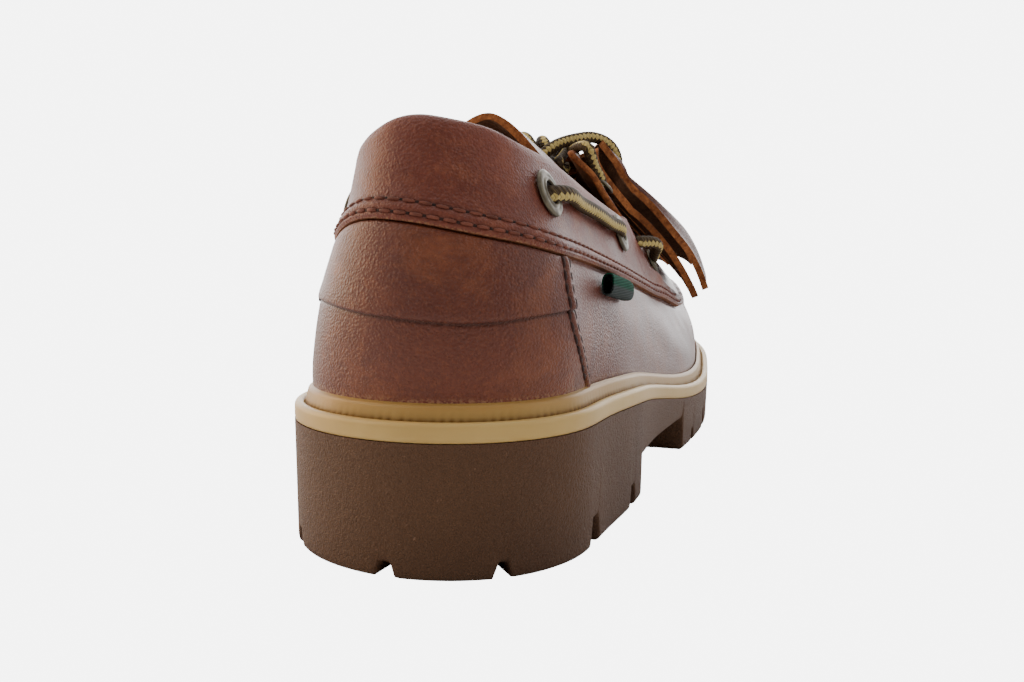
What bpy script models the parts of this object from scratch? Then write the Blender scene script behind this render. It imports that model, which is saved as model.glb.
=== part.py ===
"""Boat shoe for the right foot: lug sole, cream welt, hollow leather upper, laced collar band,
tongue and a two-layer fringed kiltie. Metres, +Z up, toe to +Y, outer side of the foot to +X."""

import math

import bmesh
import bpy
import numpy as np

# Sole
LENGTH = 0.300
BALL_WIDTH = 0.1045
WELT_HEIGHT = 0.0297
TOE_SPRING = 0.0100
TOE_SPRING_START = 0.085
HEEL_BREAST = -0.0700
ARCH_END = -0.0100
ARCH_RISE = 0.0110
SOLE_BEVEL = 0.0014
SOLE_TAPER = 0.0006
LUG_REACH = 0.0120
NOTCH_SHIFT = 0.0040
CHANNEL_DEPTH = 0.0040

# Welt
LIP_HEIGHT = 0.0045
GROOVE_INSET = 0.0026
BEAD_HEIGHT = 0.0081
WELT_FLOOR = 0.0035
FEATHER_INSET = 0.0050

# Upper
COLLAR_HEIGHT = 0.1002
COLLAR_HALF = 0.029
HEEL_AXIS = 0.00175
WALL = 0.0022
PANEL_STEP = 0.0006
APRON_SEAM = 0.0014
BAND_THICKNESS = 0.0016
BAND_TUCK = 0.0012
INSOLE_THICKNESS = 0.0040

# Tongue and kiltie
TONGUE_HALF = 0.020
TONGUE_THICKNESS = 0.0026
KILTIE_THICKNESS = 0.0026
KILTIE_STRIPS = 9

# Fittings and lace
EYELET_RADIUS = 0.0059
EYELET_HOLE = 0.0029
EYELET_THICKNESS = 0.0010
FRONT_EYELET_RADIUS = 0.0044
LACE = 0.0042
TIP_DIAMETER = 0.0036
TIP_LENGTH = 0.016
TAB_LENGTH = 0.023
TAB_DROP = 0.0065
TAB_DEPTH = 0.0034
TAB_WALL = 0.0007
TAB_PLACE = 0.130
TAB_LIFT = 0.0016
LOOP_LENGTH = 0.73
CLEARANCE = 0.0003

# Mesh density
COLUMNS = 56
STEP_EDGE = 0.0015

# One row for each section round the shoe, heel to toe, as shares: place along LENGTH, outer and
# inner half width of BALL_WIDTH, rim across COLLAR_HALF, along LENGTH and up COLLAR_HEIGHT, how
# far the inner rim falls below the outer, then the wall's lower handle, belly, upper handle and
# the slope of the wall at the rim in degrees.
SECTIONS = (
    # along, outer, inner, rim_x, rim_y, rim_z, fall, stand, belly, sweep, slope
    (0.0000, 0.034, -0.034, 0.000, 0.0350, 1.000, 0.000, 0.36, 0.05, 0.30, 78),
    (0.0067, 0.275, 0.212, 0.190, 0.0377, 0.997, 0.006, 0.36, 0.05, 0.30, 78),
    (0.0217, 0.453, 0.393, 0.379, 0.0483, 0.988, 0.016, 0.36, 0.05, 0.30, 77),
    (0.0467, 0.609, 0.551, 0.569, 0.0667, 0.974, 0.030, 0.36, 0.05, 0.30, 76),
    (0.0833, 0.720, 0.664, 0.707, 0.0967, 0.949, 0.034, 0.36, 0.05, 0.30, 74),
    (0.1400, 0.767, 0.702, 0.790, 0.1467, 0.927, 0.036, 0.36, 0.03, 0.30, 74),
    (0.2333, 0.828, 0.684, 0.879, 0.2367, 0.874, 0.030, 0.36, 0.01, 0.30, 73),
    (0.3333, 0.849, 0.656, 0.941, 0.3200, 0.828, 0.020, 0.36, 0.00, 0.30, 71),
    (0.4333, 0.910, 0.675, 0.990, 0.3933, 0.794, 0.010, 0.34, -0.02, 0.30, 68),
    (0.5333, 0.981, 0.770, 0.979, 0.4433, 0.780, 0.000, 0.30, -0.05, 0.32, 58),
    (0.6333, 1.000, 0.904, 0.897, 0.4583, 0.813, 0.000, 0.28, -0.06, 0.36, 45),
    (0.7333, 0.960, 1.000, 0.741, 0.4550, 0.889, 0.000, 0.30, -0.04, 0.40, 37),
    (0.8333, 0.880, 0.967, 0.534, 0.4450, 0.960, 0.000, 0.32, -0.02, 0.43, 31),
    (0.9167, 0.680, 0.775, 0.350, 0.4380, 1.016, 0.000, 0.34, -0.01, 0.45, 28),
    (0.9733, 0.354, 0.440, 0.300, 0.5000, 0.995, 0.000, 0.34, 0.00, 0.44, 26),
    (1.0000, -0.057, 0.057, 0.000, 0.5667, 0.940, 0.000, 0.34, 0.00, 0.42, 26),
)

# Height of the line between outsole and welt: place along LENGTH, share of WELT_HEIGHT.
WELT_LINE = ((0.0, 1.010), (0.30, 0.866), (0.50, 0.565), (0.70, 0.522), (1.0, 0.781))

# Collar band from heel to its front tip: place round the shoe, lower edge up the wall on the outer
# and the inner side, upper edge.
BAND = (
    # place, outer low, inner low, high
    (0.0000, 0.605, 0.605, 0.985),
    (0.0180, 0.580, 0.622, 0.985),
    (0.0330, 0.562, 0.624, 0.985),
    (0.0500, 0.546, 0.618, 0.985),
    (0.0670, 0.534, 0.604, 0.985),
    (0.0920, 0.522, 0.580, 0.985),
    (0.1320, 0.513, 0.556, 0.985),
    (0.2000, 0.513, 0.536, 0.985),
    (0.2450, 0.513, 0.522, 0.985),
    (0.2535, 0.512, 0.516, 0.848),
    (0.2620, 0.510, 0.510, 0.712),
    (0.2900, 0.475, 0.475, 0.645),
    (0.3240, 0.400, 0.400, 0.545),
    (0.3450, 0.365, 0.365, 0.460),
)
BAND_TOP = 0.985
ROW_RISE = 0.12
BAND_ROWS = (0.0, 0.15, 0.40, 0.70, 1.0)
BAND_FRONT = (0.245, 0.2535, 0.262, 0.276, 0.290, 0.307, 0.324, 0.335, 0.345)

# Counter line round the heel and apron seam round the toe: place round the shoe, then its share
# up the wall on the outer and the inner side.
COUNTER_END = 0.076
APRON_START = 0.352
FEATURE_LINE = (
    # place, outer, inner
    (0.000, 0.277, 0.277),
    (0.018, 0.262, 0.298),
    (0.033, 0.268, 0.322),
    (0.050, 0.290, 0.345),
    (0.075, 0.320, 0.362),
    (0.200, 0.340, 0.350),
    (0.300, 0.310, 0.310),
    (0.345, 0.295, 0.295),
    (0.370, 0.330, 0.330),
    (0.395, 0.372, 0.372),
    (0.432, 0.380, 0.380),
    (0.467, 0.365, 0.365),
    (0.500, 0.355, 0.355),
)

# Tongue down its middle, as shares: place along LENGTH, height and width of COLLAR_HEIGHT and
# TONGUE_HALF, lean to the inner side as a share of TONGUE_HALF, and roll to the outer side.
TONGUE = (
    # along, height, half, lean, roll
    (-0.207, 1.104, 0.62, -0.175, 0.20),
    (-0.190, 1.092, 0.86, -0.150, 0.20),
    (-0.150, 1.068, 0.96, -0.110, 0.17),
    (-0.093, 1.020, 1.00, -0.050, 0.10),
    (-0.033, 0.958, 0.80, 0.000, 0.03),
    (0.027, 0.900, 0.80, 0.000, 0.00),
    (0.083, 0.852, 0.75, 0.000, 0.00),
    (0.127, 0.805, 0.70, 0.000, 0.00),
)
TONGUE_CURL = 0.245

# Rear edge of each kiltie layer from its neck to its lowest strip: share up the wall, place round
# the shoe, and how far the leather stands off the vamp there, as a share of LENGTH.
KILTIE_UPPER = ((1.00, 0.472, 0.0345), (0.86, 0.430, 0.0333), (0.79, 0.378, 0.0300),
                (0.63, 0.351, 0.0310), (0.42, 0.336, 0.0390))
KILTIE_LOWER = ((1.00, 0.458, 0.0200), (0.88, 0.404, 0.0130), (0.78, 0.374, 0.0125),
                (0.62, 0.343, 0.0165), (0.42, 0.328, 0.0250))

# How much flatter the inner wall stands than the outer one, by place along LENGTH, and how much
# belly that takes as a share of COLLAR_HEIGHT and how many degrees of slope that adds.
INNER_FLAT = ((0.0, 0.0), (0.0217, 0.6), (0.0467, 1.0), (0.2333, 1.0), (0.4333, 0.0), (1.0, 0.0))
INNER_BELLY = 0.036
INNER_SLOPE = 10

# Neck and tips of each kiltie layer up the wall, and the share of its lift kept in its middle.
UPPER_FAN = (1.03, 0.56, 0.64)
LOWER_FAN = (1.00, 0.48, 0.62)

# Notches between lugs: place round the shoe, width, height. Those at the back are cut once,
# the others on both sides, NOTCH_SHIFT nearer the heel on the inner one.
BACK_NOTCHES = (
    (-0.0490, 0.0030, 0.0036),
    (-0.0035, 0.0034, 0.0034),
    (0.0355, 0.0030, 0.0036),
)
NOTCHES = (
    (0.0830, 0.0052, 0.0066),
    (0.1310, 0.0042, 0.0056),
    (0.2560, 0.0034, 0.0040),
    (0.2930, 0.0050, 0.0062),
    (0.3280, 0.0045, 0.0060),
    (0.3630, 0.0045, 0.0060),
    (0.3980, 0.0045, 0.0060),
    (0.4330, 0.0045, 0.0060),
    (0.4700, 0.0045, 0.0060),
)
ISLAND_GROOVES = (-0.112, 0.020, 0.045, 0.070, 0.095)

# Eyelets: place round the shoe, share up the wall, outer radius.
EYELETS = {
    "rear": (0.0765, 0.800, EYELET_RADIUS),
    "middle": (0.1870, 0.826, EYELET_RADIUS),
    "front": (0.3080, 0.720, FRONT_EYELET_RADIUS),
    "top": (0.3960, 0.930, FRONT_EYELET_RADIUS),
}

# Lace routes that hang free, chosen by hand, in metres.
KNOT = (0.0030, -0.0040, 0.0980)
KNOT_HALF = (0.0046, 0.0042, 0.0032)
TIE_OUTER = (0.0085, -0.0055, 0.1034)
TIE_INNER = (-0.0066, -0.0060, 0.1034)
LOOP_OUTER = (
    (-0.0036, -0.0130, 0.0990), (-0.0018, -0.0110, 0.1010), (0.0008, -0.0080, 0.1038),
    (0.0038, -0.0030, 0.1069), (0.0082, 0.0030, 0.1091), (0.0126, 0.0090, 0.1101),
    (0.0163, 0.0135, 0.1090), (0.0189, 0.0170, 0.1062), (0.0199, 0.0200, 0.1024),
    (0.0188, 0.0240, 0.0995), (0.0152, 0.0272, 0.1004), (0.0114, 0.0244, 0.1038),
    (0.0084, 0.0180, 0.1068), (0.0066, 0.0110, 0.1072), (0.0052, 0.0045, 0.1046),
)
LOOP_INNER = (
    (-0.0036, -0.0005, 0.1002), (-0.0070, 0.0015, 0.1038), (-0.0110, 0.0050, 0.1090),
    (-0.0155, 0.0105, 0.1098), (-0.0200, 0.0165, 0.1046), (-0.0240, 0.0240, 0.0972),
    (-0.0258, 0.0310, 0.0927), (-0.0240, 0.0375, 0.0912), (-0.0195, 0.0380, 0.0932),
    (-0.0155, 0.0320, 0.0972), (-0.0120, 0.0250, 0.1027), (-0.0095, 0.0180, 0.1069),
    (-0.0070, 0.0115, 0.1090), (-0.0046, 0.0060, 0.1074), (-0.0026, 0.0036, 0.1050),
)
END_OUTER = (
    (0.0010, 0.0022, 0.0997), (0.0018, 0.0095, 0.1030), (0.0024, 0.0150, 0.1060),
    (0.0024, 0.0210, 0.1066), (0.0024, 0.0280, 0.1030), (0.0024, 0.0380, 0.0982),
    (0.0026, 0.0480, 0.0928), (0.0028, 0.0570, 0.0892),
)
END_INNER = (
    (-0.0034, 0.0046, 0.1002), (-0.0031, 0.0095, 0.1028), (-0.0025, 0.0150, 0.1069),
    (-0.0024, 0.0210, 0.1068), (-0.0025, 0.0280, 0.1032), (-0.0026, 0.0380, 0.0984),
    (-0.0026, 0.0480, 0.0930), (-0.0028, 0.0570, 0.0896),
)


def open_spline(rows):
    """Natural cubic through (x, value...) rows, held at its ends."""
    table = np.array(rows, float)
    x, y = table[:, 0], table[:, 1:]
    count = len(x)
    step = np.diff(x)
    system = np.eye(count)
    right = np.zeros_like(y)
    for row in range(1, count - 1):
        system[row, row - 1:row + 2] = step[row - 1], 2 * (step[row - 1] + step[row]), step[row]
        slope_after = (y[row + 1] - y[row]) / step[row]
        slope_before = (y[row] - y[row - 1]) / step[row - 1]
        right[row] = 6 * (slope_after - slope_before)
    bend = np.linalg.solve(system, right)

    def curve(place):
        place = np.clip(np.asarray(place, float), x[0], x[-1])
        cell = np.clip(np.searchsorted(x, place) - 1, 0, count - 2)
        h = step[cell]
        a = ((x[cell + 1] - place) / h)[..., None]
        b = 1 - a
        square = (h ** 2)[..., None] / 6
        return a * y[cell] + b * y[cell + 1] + ((a**3 - a) * bend[cell] + (b**3 - b) * bend[cell + 1]) * square

    return curve


def closed_spline(knots, values):
    """Periodic cubic through values at knots, whose last knot closes the loop."""
    count = len(values)
    step = np.diff(knots)
    rise = (np.roll(values, -1, 0) - values) / step[:, None]
    system = np.zeros((count, count))
    for row in range(count):
        before = step[row - 1]
        system[row, row - 1] += before
        system[row, row] += 2 * (before + step[row])
        system[row, (row + 1) % count] += step[row]
    bend = np.linalg.solve(system, 6 * (rise - np.roll(rise, 1, 0)))

    def curve(place):
        place = np.mod(np.asarray(place, float), knots[-1])
        cell = np.clip(np.searchsorted(knots, place, side="right") - 1, 0, count - 1)
        after = (cell + 1) % count
        h = step[cell]
        a = ((knots[cell + 1] - place) / h)[..., None]
        b = 1 - a
        square = (h ** 2)[..., None] / 6
        return a * values[cell] + b * values[after] + ((a**3 - a) * bend[cell] + (b**3 - b) * bend[after]) * square

    return curve


def section_loop():
    """The section table run round the shoe: heel, outer side, toe, inner side."""
    half = BALL_WIDTH / 2
    outer = []
    inner = []
    for along, wide, narrow, rim_x, rim_y, rim_z, fall, stand, belly, sweep, slope in SECTIONS:
        y = LENGTH * (along - 0.5)
        rim_along = LENGTH * (rim_y - 0.5)
        shape = (stand, belly * COLLAR_HEIGHT, sweep, slope)
        outer.append((half * wide, y, HEEL_AXIS + COLLAR_HALF * rim_x, rim_along, COLLAR_HEIGHT * rim_z) + shape)
        flat = np.interp(along, *zip(*INNER_FLAT))
        shape = (stand, (belly - INNER_BELLY * flat) * COLLAR_HEIGHT, sweep, slope + INNER_SLOPE * flat)
        low_rim = COLLAR_HEIGHT * (rim_z - fall)
        inner.append((-half * narrow, y, HEEL_AXIS - COLLAR_HALF * rim_x, rim_along, low_rim) + shape)
    outer = np.array(outer)
    inner = np.array(inner)
    middle = np.stack([(outer[:, 0] - inner[:, 0]) / 2, outer[:, 1]], 1)
    chord = np.linalg.norm(np.diff(middle, axis=0), axis=1)
    side = np.concatenate([[0], np.cumsum(chord)]) / chord.sum() / 2
    knots = np.concatenate([side, 1 - side[-2::-1]])
    return closed_spline(knots, np.concatenate([outer, inner[-2:0:-1]]))


section_at = section_loop()
welt_share = open_spline(WELT_LINE)
band_rows = np.array(BAND)
feature_at = open_spline(FEATURE_LINE)


def welt_line(y):
    return WELT_HEIGHT * welt_share(y / LENGTH + 0.5)[..., 0]


def signed(place):
    """Place round the shoe as a distance from the heel, equal on both sides."""
    place = np.mod(place, 1.0)
    return np.minimum(place, 1 - place)


def outline(place, inset=0.0):
    """Plan of the sole, moved inwards by inset."""
    place = np.asarray(place, float)
    small = 1e-4
    step = section_at(place + small)[..., :2] - section_at(place - small)[..., :2]
    step /= np.linalg.norm(step, axis=-1, keepdims=True)
    outward = np.stack([step[..., 1], -step[..., 0]], -1)
    return section_at(place)[..., :2] - outward * np.asarray(inset)[..., None]


def wall(place, up):
    """The last's skin: a cubic from the feather line (up 0) to the rim (up 1) at each place."""
    place, up = np.broadcast_arrays(np.asarray(place, float), np.asarray(up, float))
    row = section_at(place)
    plan = outline(place, FEATHER_INSET)
    foot = np.concatenate([plan, (welt_line(plan[..., 1]) + BEAD_HEIGHT)[..., None]], -1)
    rim = row[..., 2:5]
    climb = rim - foot
    flat = np.linalg.norm(climb[..., :2], axis=-1, keepdims=True)
    out = -climb[..., :2] / (flat + 1e-9)
    low = foot.copy()
    low[..., :2] += out * row[..., 6:7]
    low[..., 2] += row[..., 5] * climb[..., 2]
    slope = np.radians(row[..., 8:9])
    lean = np.concatenate([out * np.cos(slope), -np.sin(slope)], -1)
    high = rim + lean * row[..., 7:8] * np.linalg.norm(climb, axis=-1, keepdims=True)
    u = up[..., None]
    return (1 - u)**3 * foot + 3 * u * (1 - u)**2 * low + 3 * u**2 * (1 - u) * high + u**3 * rim


def directions(place, up):
    """Unit vectors of the skin: round the shoe, up the wall and outward."""
    small = 1e-4
    round_step = wall(place + small, up) - wall(place - small, up)
    up_step = wall(place, up + small) - wall(place, up - small)
    outward = np.cross(round_step, up_step)
    units = []
    for vector in (round_step, up_step, outward):
        units.append(vector / np.linalg.norm(vector, axis=-1, keepdims=True))
    return units


def skin(place, up, lift):
    """A point lifted off the last's skin."""
    place, up, lift = np.broadcast_arrays(np.asarray(place, float), np.asarray(up, float), lift)
    return wall(place, up) + directions(place, up)[2] * lift[..., None]


def by_side(place, outer, inner):
    """Outer value on the outer side of the foot, inner value on the other."""
    return np.where(np.mod(place, 1.0) <= 0.5, outer, inner)


def band_low(place):
    away = signed(place)
    sides = [np.interp(away, band_rows[:, 0], band_rows[:, column]) for column in (1, 2)]
    return by_side(place, *sides)


def band_high(place):
    return np.interp(signed(place), band_rows[:, 0], band_rows[:, 3])


def feature_line(place):
    rows = feature_at(signed(place))
    return by_side(place, rows[..., 0], rows[..., 1])


def smooth(value):
    value = np.clip(value, 0, 1)
    return value * value * (3 - 2 * value)


def tuck(place, up):
    """How far the wall is pulled in for the band, growing from its lower edge."""
    return BAND_TUCK * smooth((up - band_low(place)) / 0.15)


def tube_mesh(rings, closed_rings=True):
    """Closed quad surface through rings of points; the last ring joins the first."""
    rows, count = len(rings), len(rings[0])
    points = np.concatenate(rings)
    faces = []
    for row in range(rows if closed_rings else rows - 1):
        after = (row + 1) % rows
        for col in range(count):
            side = (col + 1) % count
            faces.append((row * count + col, row * count + side, after * count + side, after * count + col))
    return points, faces


def bridge_cap(start, count, upward):
    """Quads across a ring between its outer and inner side, matched from heel to toe."""
    faces = []
    for col in range(count // 2):
        quad = [start + col, start + col + 1, start + count - col - 1, start + (count - col) % count]
        quad = list(dict.fromkeys(quad))
        faces.append(quad if upward else quad[::-1])
    return faces


def finish(name, points, faces, material):
    """Object from points and faces, with its faces pointing out."""
    mesh = bpy.data.meshes.new(name)
    mesh.from_pydata([tuple(point) for point in points], [], faces)
    editor = bmesh.new()
    editor.from_mesh(mesh)
    bmesh.ops.remove_doubles(editor, verts=editor.verts, dist=1e-6)
    bmesh.ops.recalc_face_normals(editor, faces=editor.faces)
    editor.to_mesh(mesh)
    editor.free()
    mesh.shade_smooth()
    mesh.set_sharp_from_angle(angle=math.radians(35))
    mesh.materials.append(material)
    item = bpy.data.objects.new(name, mesh)
    bpy.context.scene.collection.objects.link(item)
    return item


def paint(name, colour, roughness, metallic=0.0):
    material = bpy.data.materials.new(name)
    material.use_nodes = True
    shader = material.node_tree.nodes["Principled BSDF"]
    shader.inputs["Base Color"].default_value = (*colour, 1)
    shader.inputs["Roughness"].default_value = roughness
    shader.inputs["Metallic"].default_value = metallic
    return material


def places():
    """Columns round the shoe: closer at heel and toe, with pairs where panels and the band end."""
    extra = [COUNTER_END - STEP_EDGE, COUNTER_END + STEP_EDGE, *BAND_FRONT, APRON_START + STEP_EDGE]
    extra += [1 - value for value in extra]
    share = np.arange(COLUMNS) / COLUMNS
    even = share - 0.04 * np.sin(4 * math.pi * share)
    gap = 0.25 / COLUMNS
    return np.array(sorted([value for value in even if min(abs(value - other) for other in extra) > gap] + extra))


def flat_ring(place, inset, height):
    """Ring at an inset from the outline, each point height above or below the welt line."""
    plan = outline(place, inset)
    return np.concatenate([plan, (welt_line(plan[:, 1]) + height)[:, None]], 1)


def sole_low(y):
    """Underside of the sole: flat, then lifted towards the toe."""
    share = np.clip((y - TOE_SPRING_START) / (LENGTH / 2 - TOE_SPRING_START), 0, 1)
    return TOE_SPRING * share**2


def low_ring(place, inset, lift):
    plan = outline(place, inset)
    return np.concatenate([plan, (sole_low(plan[:, 1]) + lift)[:, None]], 1)


def wall_profile(place, share):
    """Outer face of the outsole between its bevel (0) and the welt line (1)."""
    top = flat_ring(place, 0.0, -CLEARANCE)
    bottom = low_ring(place, SOLE_TAPER, SOLE_BEVEL)
    return bottom + (top - bottom) * share


def cutter(name, points, faces):
    item = finish(name, points, faces, paint(name, (0.5, 0.5, 0.5), 0.5))
    item.hide_render = True
    item.display_type = "WIRE"
    return item


def prism(name, plan, low, high, draft=0.0):
    """Upright block over a plan; draft narrows its top towards the plan's middle."""
    plan = np.array(plan)
    middle = plan.mean(0)
    top = plan + (middle - plan) * draft
    count = len(plan)
    points = [(x, y, low) for x, y in plan] + [(x, y, high) for x, y in top]
    faces = [tuple(range(count))[::-1], tuple(range(count, 2 * count))]
    for col in range(count):
        side = (col + 1) % count
        faces.append((col, side, count + side, count + col))
    return cutter(name, points, faces)


def notch_cutter(name, place, width, height):
    """Wedge between two lugs, square to the outline and wider at the floor."""
    edge = outline(place, 0.0)
    inward = outline(place, LUG_REACH) - edge
    inward /= np.linalg.norm(inward)
    across = np.array([-inward[1], inward[0]])
    floor = float(sole_low(edge[1]))
    start = edge - inward * 0.004
    end = edge + inward * LUG_REACH
    points = []
    for spot in (start, end):
        for share, level in ((0.78, -0.002), (-0.78, -0.002), (-0.45, height), (0.45, height)):
            plan = spot + across * width * share
            points.append((plan[0], plan[1], floor + level))
    faces = [(0, 1, 2, 3), (7, 6, 5, 4), (0, 4, 5, 1), (1, 5, 6, 2), (2, 6, 7, 3), (3, 7, 4, 0)]
    return cutter(name, points, faces)


def cut(item, tool):
    modifier = item.modifiers.new(tool.name, "BOOLEAN")
    modifier.operation = "DIFFERENCE"
    modifier.solver = "EXACT"
    modifier.object = tool


def make_outsole():
    place = places()
    rings = [wall_profile(place, share) for share in (1.0, 0.5, 0.0)]
    rings.append(low_ring(place, SOLE_TAPER + SOLE_BEVEL * 0.3, SOLE_BEVEL * 0.3))
    rings.append(low_ring(place, SOLE_TAPER + SOLE_BEVEL, 0.0))
    points, faces = tube_mesh(rings, closed_rings=False)
    faces += bridge_cap(0, len(place), True)
    faces += bridge_cap(len(place) * (len(rings) - 1), len(place), False)
    item = finish("outsole", points, faces, paint("rubber brown", (0.070, 0.036, 0.021), 0.62))
    wide = BALL_WIDTH
    arch = prism("arch cutter", [(-wide, HEEL_BREAST), (wide, HEEL_BREAST), (wide, ARCH_END), (-wide, ARCH_END)],
                 -0.005, ARCH_RISE, 0.02)
    cut(item, arch)
    notches = list(BACK_NOTCHES)
    for spot, width, height in NOTCHES:
        notches += [(spot, width, height), (1 - spot - NOTCH_SHIFT, width, height)]
    for number, (spot, width, height) in enumerate(notches):
        cut(item, notch_cutter(f"notch {number}", spot, width, height))
    for number, y in enumerate(ISLAND_GROOVES):
        half = 0.026
        plan = [(-half, y - 0.002), (half, y - 0.002), (half, y + 0.002), (-half, y + 0.002)]
        cut(item, prism(f"groove {number}", plan, -0.002, float(sole_low(y)) + CHANNEL_DEPTH))
    return item


def make_midsole():
    place = places()
    rounding = 0.0008
    lip = LIP_HEIGHT
    wall_inset = FEATHER_INSET - CLEARANCE
    profile = (
        (0.0, 0.0),
        (0.0, lip - rounding),
        (rounding, lip),
        (GROOVE_INSET - rounding, lip),
        (GROOVE_INSET, lip - rounding),
        (GROOVE_INSET + rounding, lip + 0.0016),
        (wall_inset - 0.0011, BEAD_HEIGHT - 0.0006),
        (wall_inset, BEAD_HEIGHT),
        (wall_inset, WELT_FLOOR),
    )
    rings = [flat_ring(place, inset, height) for inset, height in profile]
    points, faces = tube_mesh(rings, closed_rings=False)
    faces += bridge_cap(0, len(place), False)
    faces += bridge_cap(len(place) * (len(rings) - 1), len(place), True)
    return finish("midsole", points, faces, paint("rubber cream", (0.60, 0.45, 0.25), 0.5))


def make_insole():
    place = places()
    inset = FEATHER_INSET + WALL + CLEARANCE
    low = WELT_FLOOR + CLEARANCE
    high = low + INSOLE_THICKNESS
    rings = [flat_ring(place, inset, low), flat_ring(place, inset, high - 0.001),
             flat_ring(place, inset + 0.001, high)]
    points, faces = tube_mesh(rings, closed_rings=False)
    faces += bridge_cap(0, len(place), False)
    faces += bridge_cap(len(place) * (len(rings) - 1), len(place), True)
    return finish("insole", points, faces, paint("insole leather", (0.30, 0.16, 0.08), 0.7))


def make_upper():
    place = places()
    away = signed(place)
    feature = feature_line(place)
    low = band_low(place) + ROW_RISE * smooth((away - BAND_FRONT[-1]) / 0.03)
    behind_seam = away < COUNTER_END
    has_apron = smooth((away - APRON_START) / 0.03)
    under_band = 1 - smooth((away - 0.345) / 0.05)
    panel = np.where(behind_seam, PANEL_STEP, 0.0)
    recess = -(BAND_TUCK + CLEARANCE) * under_band
    skirt = flat_ring(place, FEATHER_INSET, WELT_FLOOR + CLEARANCE)
    edge = 0.012
    rows = [
        (0 * low, 0 * panel),
        (feature * 0.5, panel),
        (feature - edge, panel),
        (feature, panel * 1.5 + APRON_SEAM * has_apron),
        (feature + edge, panel * 2),
        (feature + (low - 0.016 - feature) * 0.5, panel * 2),
        (low - 0.016, panel * 2),
        (low - 0.004, -CLEARANCE * under_band),
    ]
    for share in BAND_ROWS:
        height = low + (BAND_TOP - low) * share
        pull = (BAND_TUCK * smooth((height - low) / 0.15) + CLEARANCE) * under_band
        rows.append((height, -pull))
    rows.append((1.0, recess))
    rings = [skirt]
    rings += [skin(place, height, lift) for height, lift in rows]
    half = WALL / 2
    top = skin(place, 1.0, recess - half)
    climb = directions(place, np.ones_like(place))[1]
    outward = directions(place, np.ones_like(place))[2]
    for turn in (45, 90, 135):
        angle = math.radians(turn)
        rings.append(top + outward * half * math.cos(angle) + climb * half * math.sin(angle))
    for height in (1.0, 0.80, 0.55, 0.30, 0.0):
        reach = under_band * smooth((height - 0.5) / 0.25)
        rings.append(skin(place, height, -WALL - (BAND_TUCK + CLEARANCE) * reach))
    rings.append(flat_ring(place, FEATHER_INSET + WALL, WELT_FLOOR + CLEARANCE))
    points, faces = tube_mesh(rings)
    return finish("upper", points, faces, paint("leather brown", (0.170, 0.048, 0.022), 0.4))


def make_collar_band():
    """Strip of the upper's own skin, between its tips on both sides."""
    tip = BAND[-1][0]
    side = [value for value in places() if value <= tip]
    place = np.array(sorted([-value for value in side if value > 0] + side))
    rows = []
    low, high = band_low(place), band_high(place)
    front = smooth((signed(place) - BAND_FRONT[0]) / (BAND_FRONT[2] - BAND_FRONT[0]))
    for share in BAND_ROWS:
        rows.append(low + (high - low) * share)
    outer = []
    inner = []
    for number, height in enumerate(rows):
        pull = tuck(place, height)
        soften = 0.0005 if number in (0, len(rows) - 1) else 0.0
        outer.append(skin(place, height, BAND_THICKNESS - pull - soften + CLEARANCE * front))
        inner.append(skin(place, height, 0.0001 - pull + CLEARANCE * front))
    return sheet("collar_band", np.array(outer), np.array(inner), paint("leather band", (0.150, 0.042, 0.020), 0.42))


def sheet(name, outer, inner, material, keep=None):
    """Closed plate between two grids of points; keep masks the cells that are leather."""
    rows, count = outer.shape[:2]
    keep = np.ones((rows - 1, count - 1), bool) if keep is None else keep
    points = np.concatenate([outer.reshape(-1, 3), inner.reshape(-1, 3)])
    shift = rows * count
    faces = []

    def wanted(row, col):
        return 0 <= row < rows - 1 and 0 <= col < count - 1 and keep[row, col]

    for row in range(rows - 1):
        for col in range(count - 1):
            if not keep[row, col]:
                continue
            a, b = row * count + col, row * count + col + 1
            c, d = b + count, a + count
            faces.append((a, b, c, d))
            faces.append((d + shift, c + shift, b + shift, a + shift))
            for beside, edge in (((row - 1, col), (b, a)), ((row, col + 1), (c, b)),
                                 ((row + 1, col), (d, c)), ((row, col - 1), (a, d))):
                if not wanted(*beside):
                    faces.append((edge[0], edge[1], edge[1] + shift, edge[0] + shift))
    used = sorted({index for face in faces for index in face})
    renumber = {index: number for number, index in enumerate(used)}
    faces = [tuple(renumber[index] for index in face) for face in faces]
    return finish(name, points[used], faces, material)


def tongue_point(along, across):
    """Arched leather: the middle line, less a curl that grows to both sides."""
    height, half, lean, roll = np.moveaxis(open_spline(TONGUE)(along), -1, 0)
    reach = across * half * TONGUE_HALF
    radius = 0.003
    curl = ((reach * reach + radius * radius) ** 0.7 - radius ** 1.4) / 0.001 ** 0.4
    drop = TONGUE_CURL * curl + roll * reach
    x = TONGUE_HALF * lean + reach
    return np.stack([x, along * LENGTH, COLLAR_HEIGHT * height - drop], -1)


def make_tongue():
    along = np.linspace(TONGUE[0][0], TONGUE[-1][0], 12)
    across = np.linspace(-1, 1, 13)
    row, col = np.meshgrid(along, across, indexing="ij")
    small = 1e-4
    outer = tongue_point(row, col)
    ahead = tongue_point(row + small, col) - tongue_point(row - small, col)
    side = tongue_point(row, col + small) - tongue_point(row, col - small)
    normal = np.cross(side, ahead)
    normal /= np.linalg.norm(normal, axis=-1, keepdims=True)
    inner = outer - normal * TONGUE_THICKNESS
    return sheet("tongue", outer, inner, paint("tongue leather", (0.165, 0.050, 0.024), 0.45))


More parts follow.
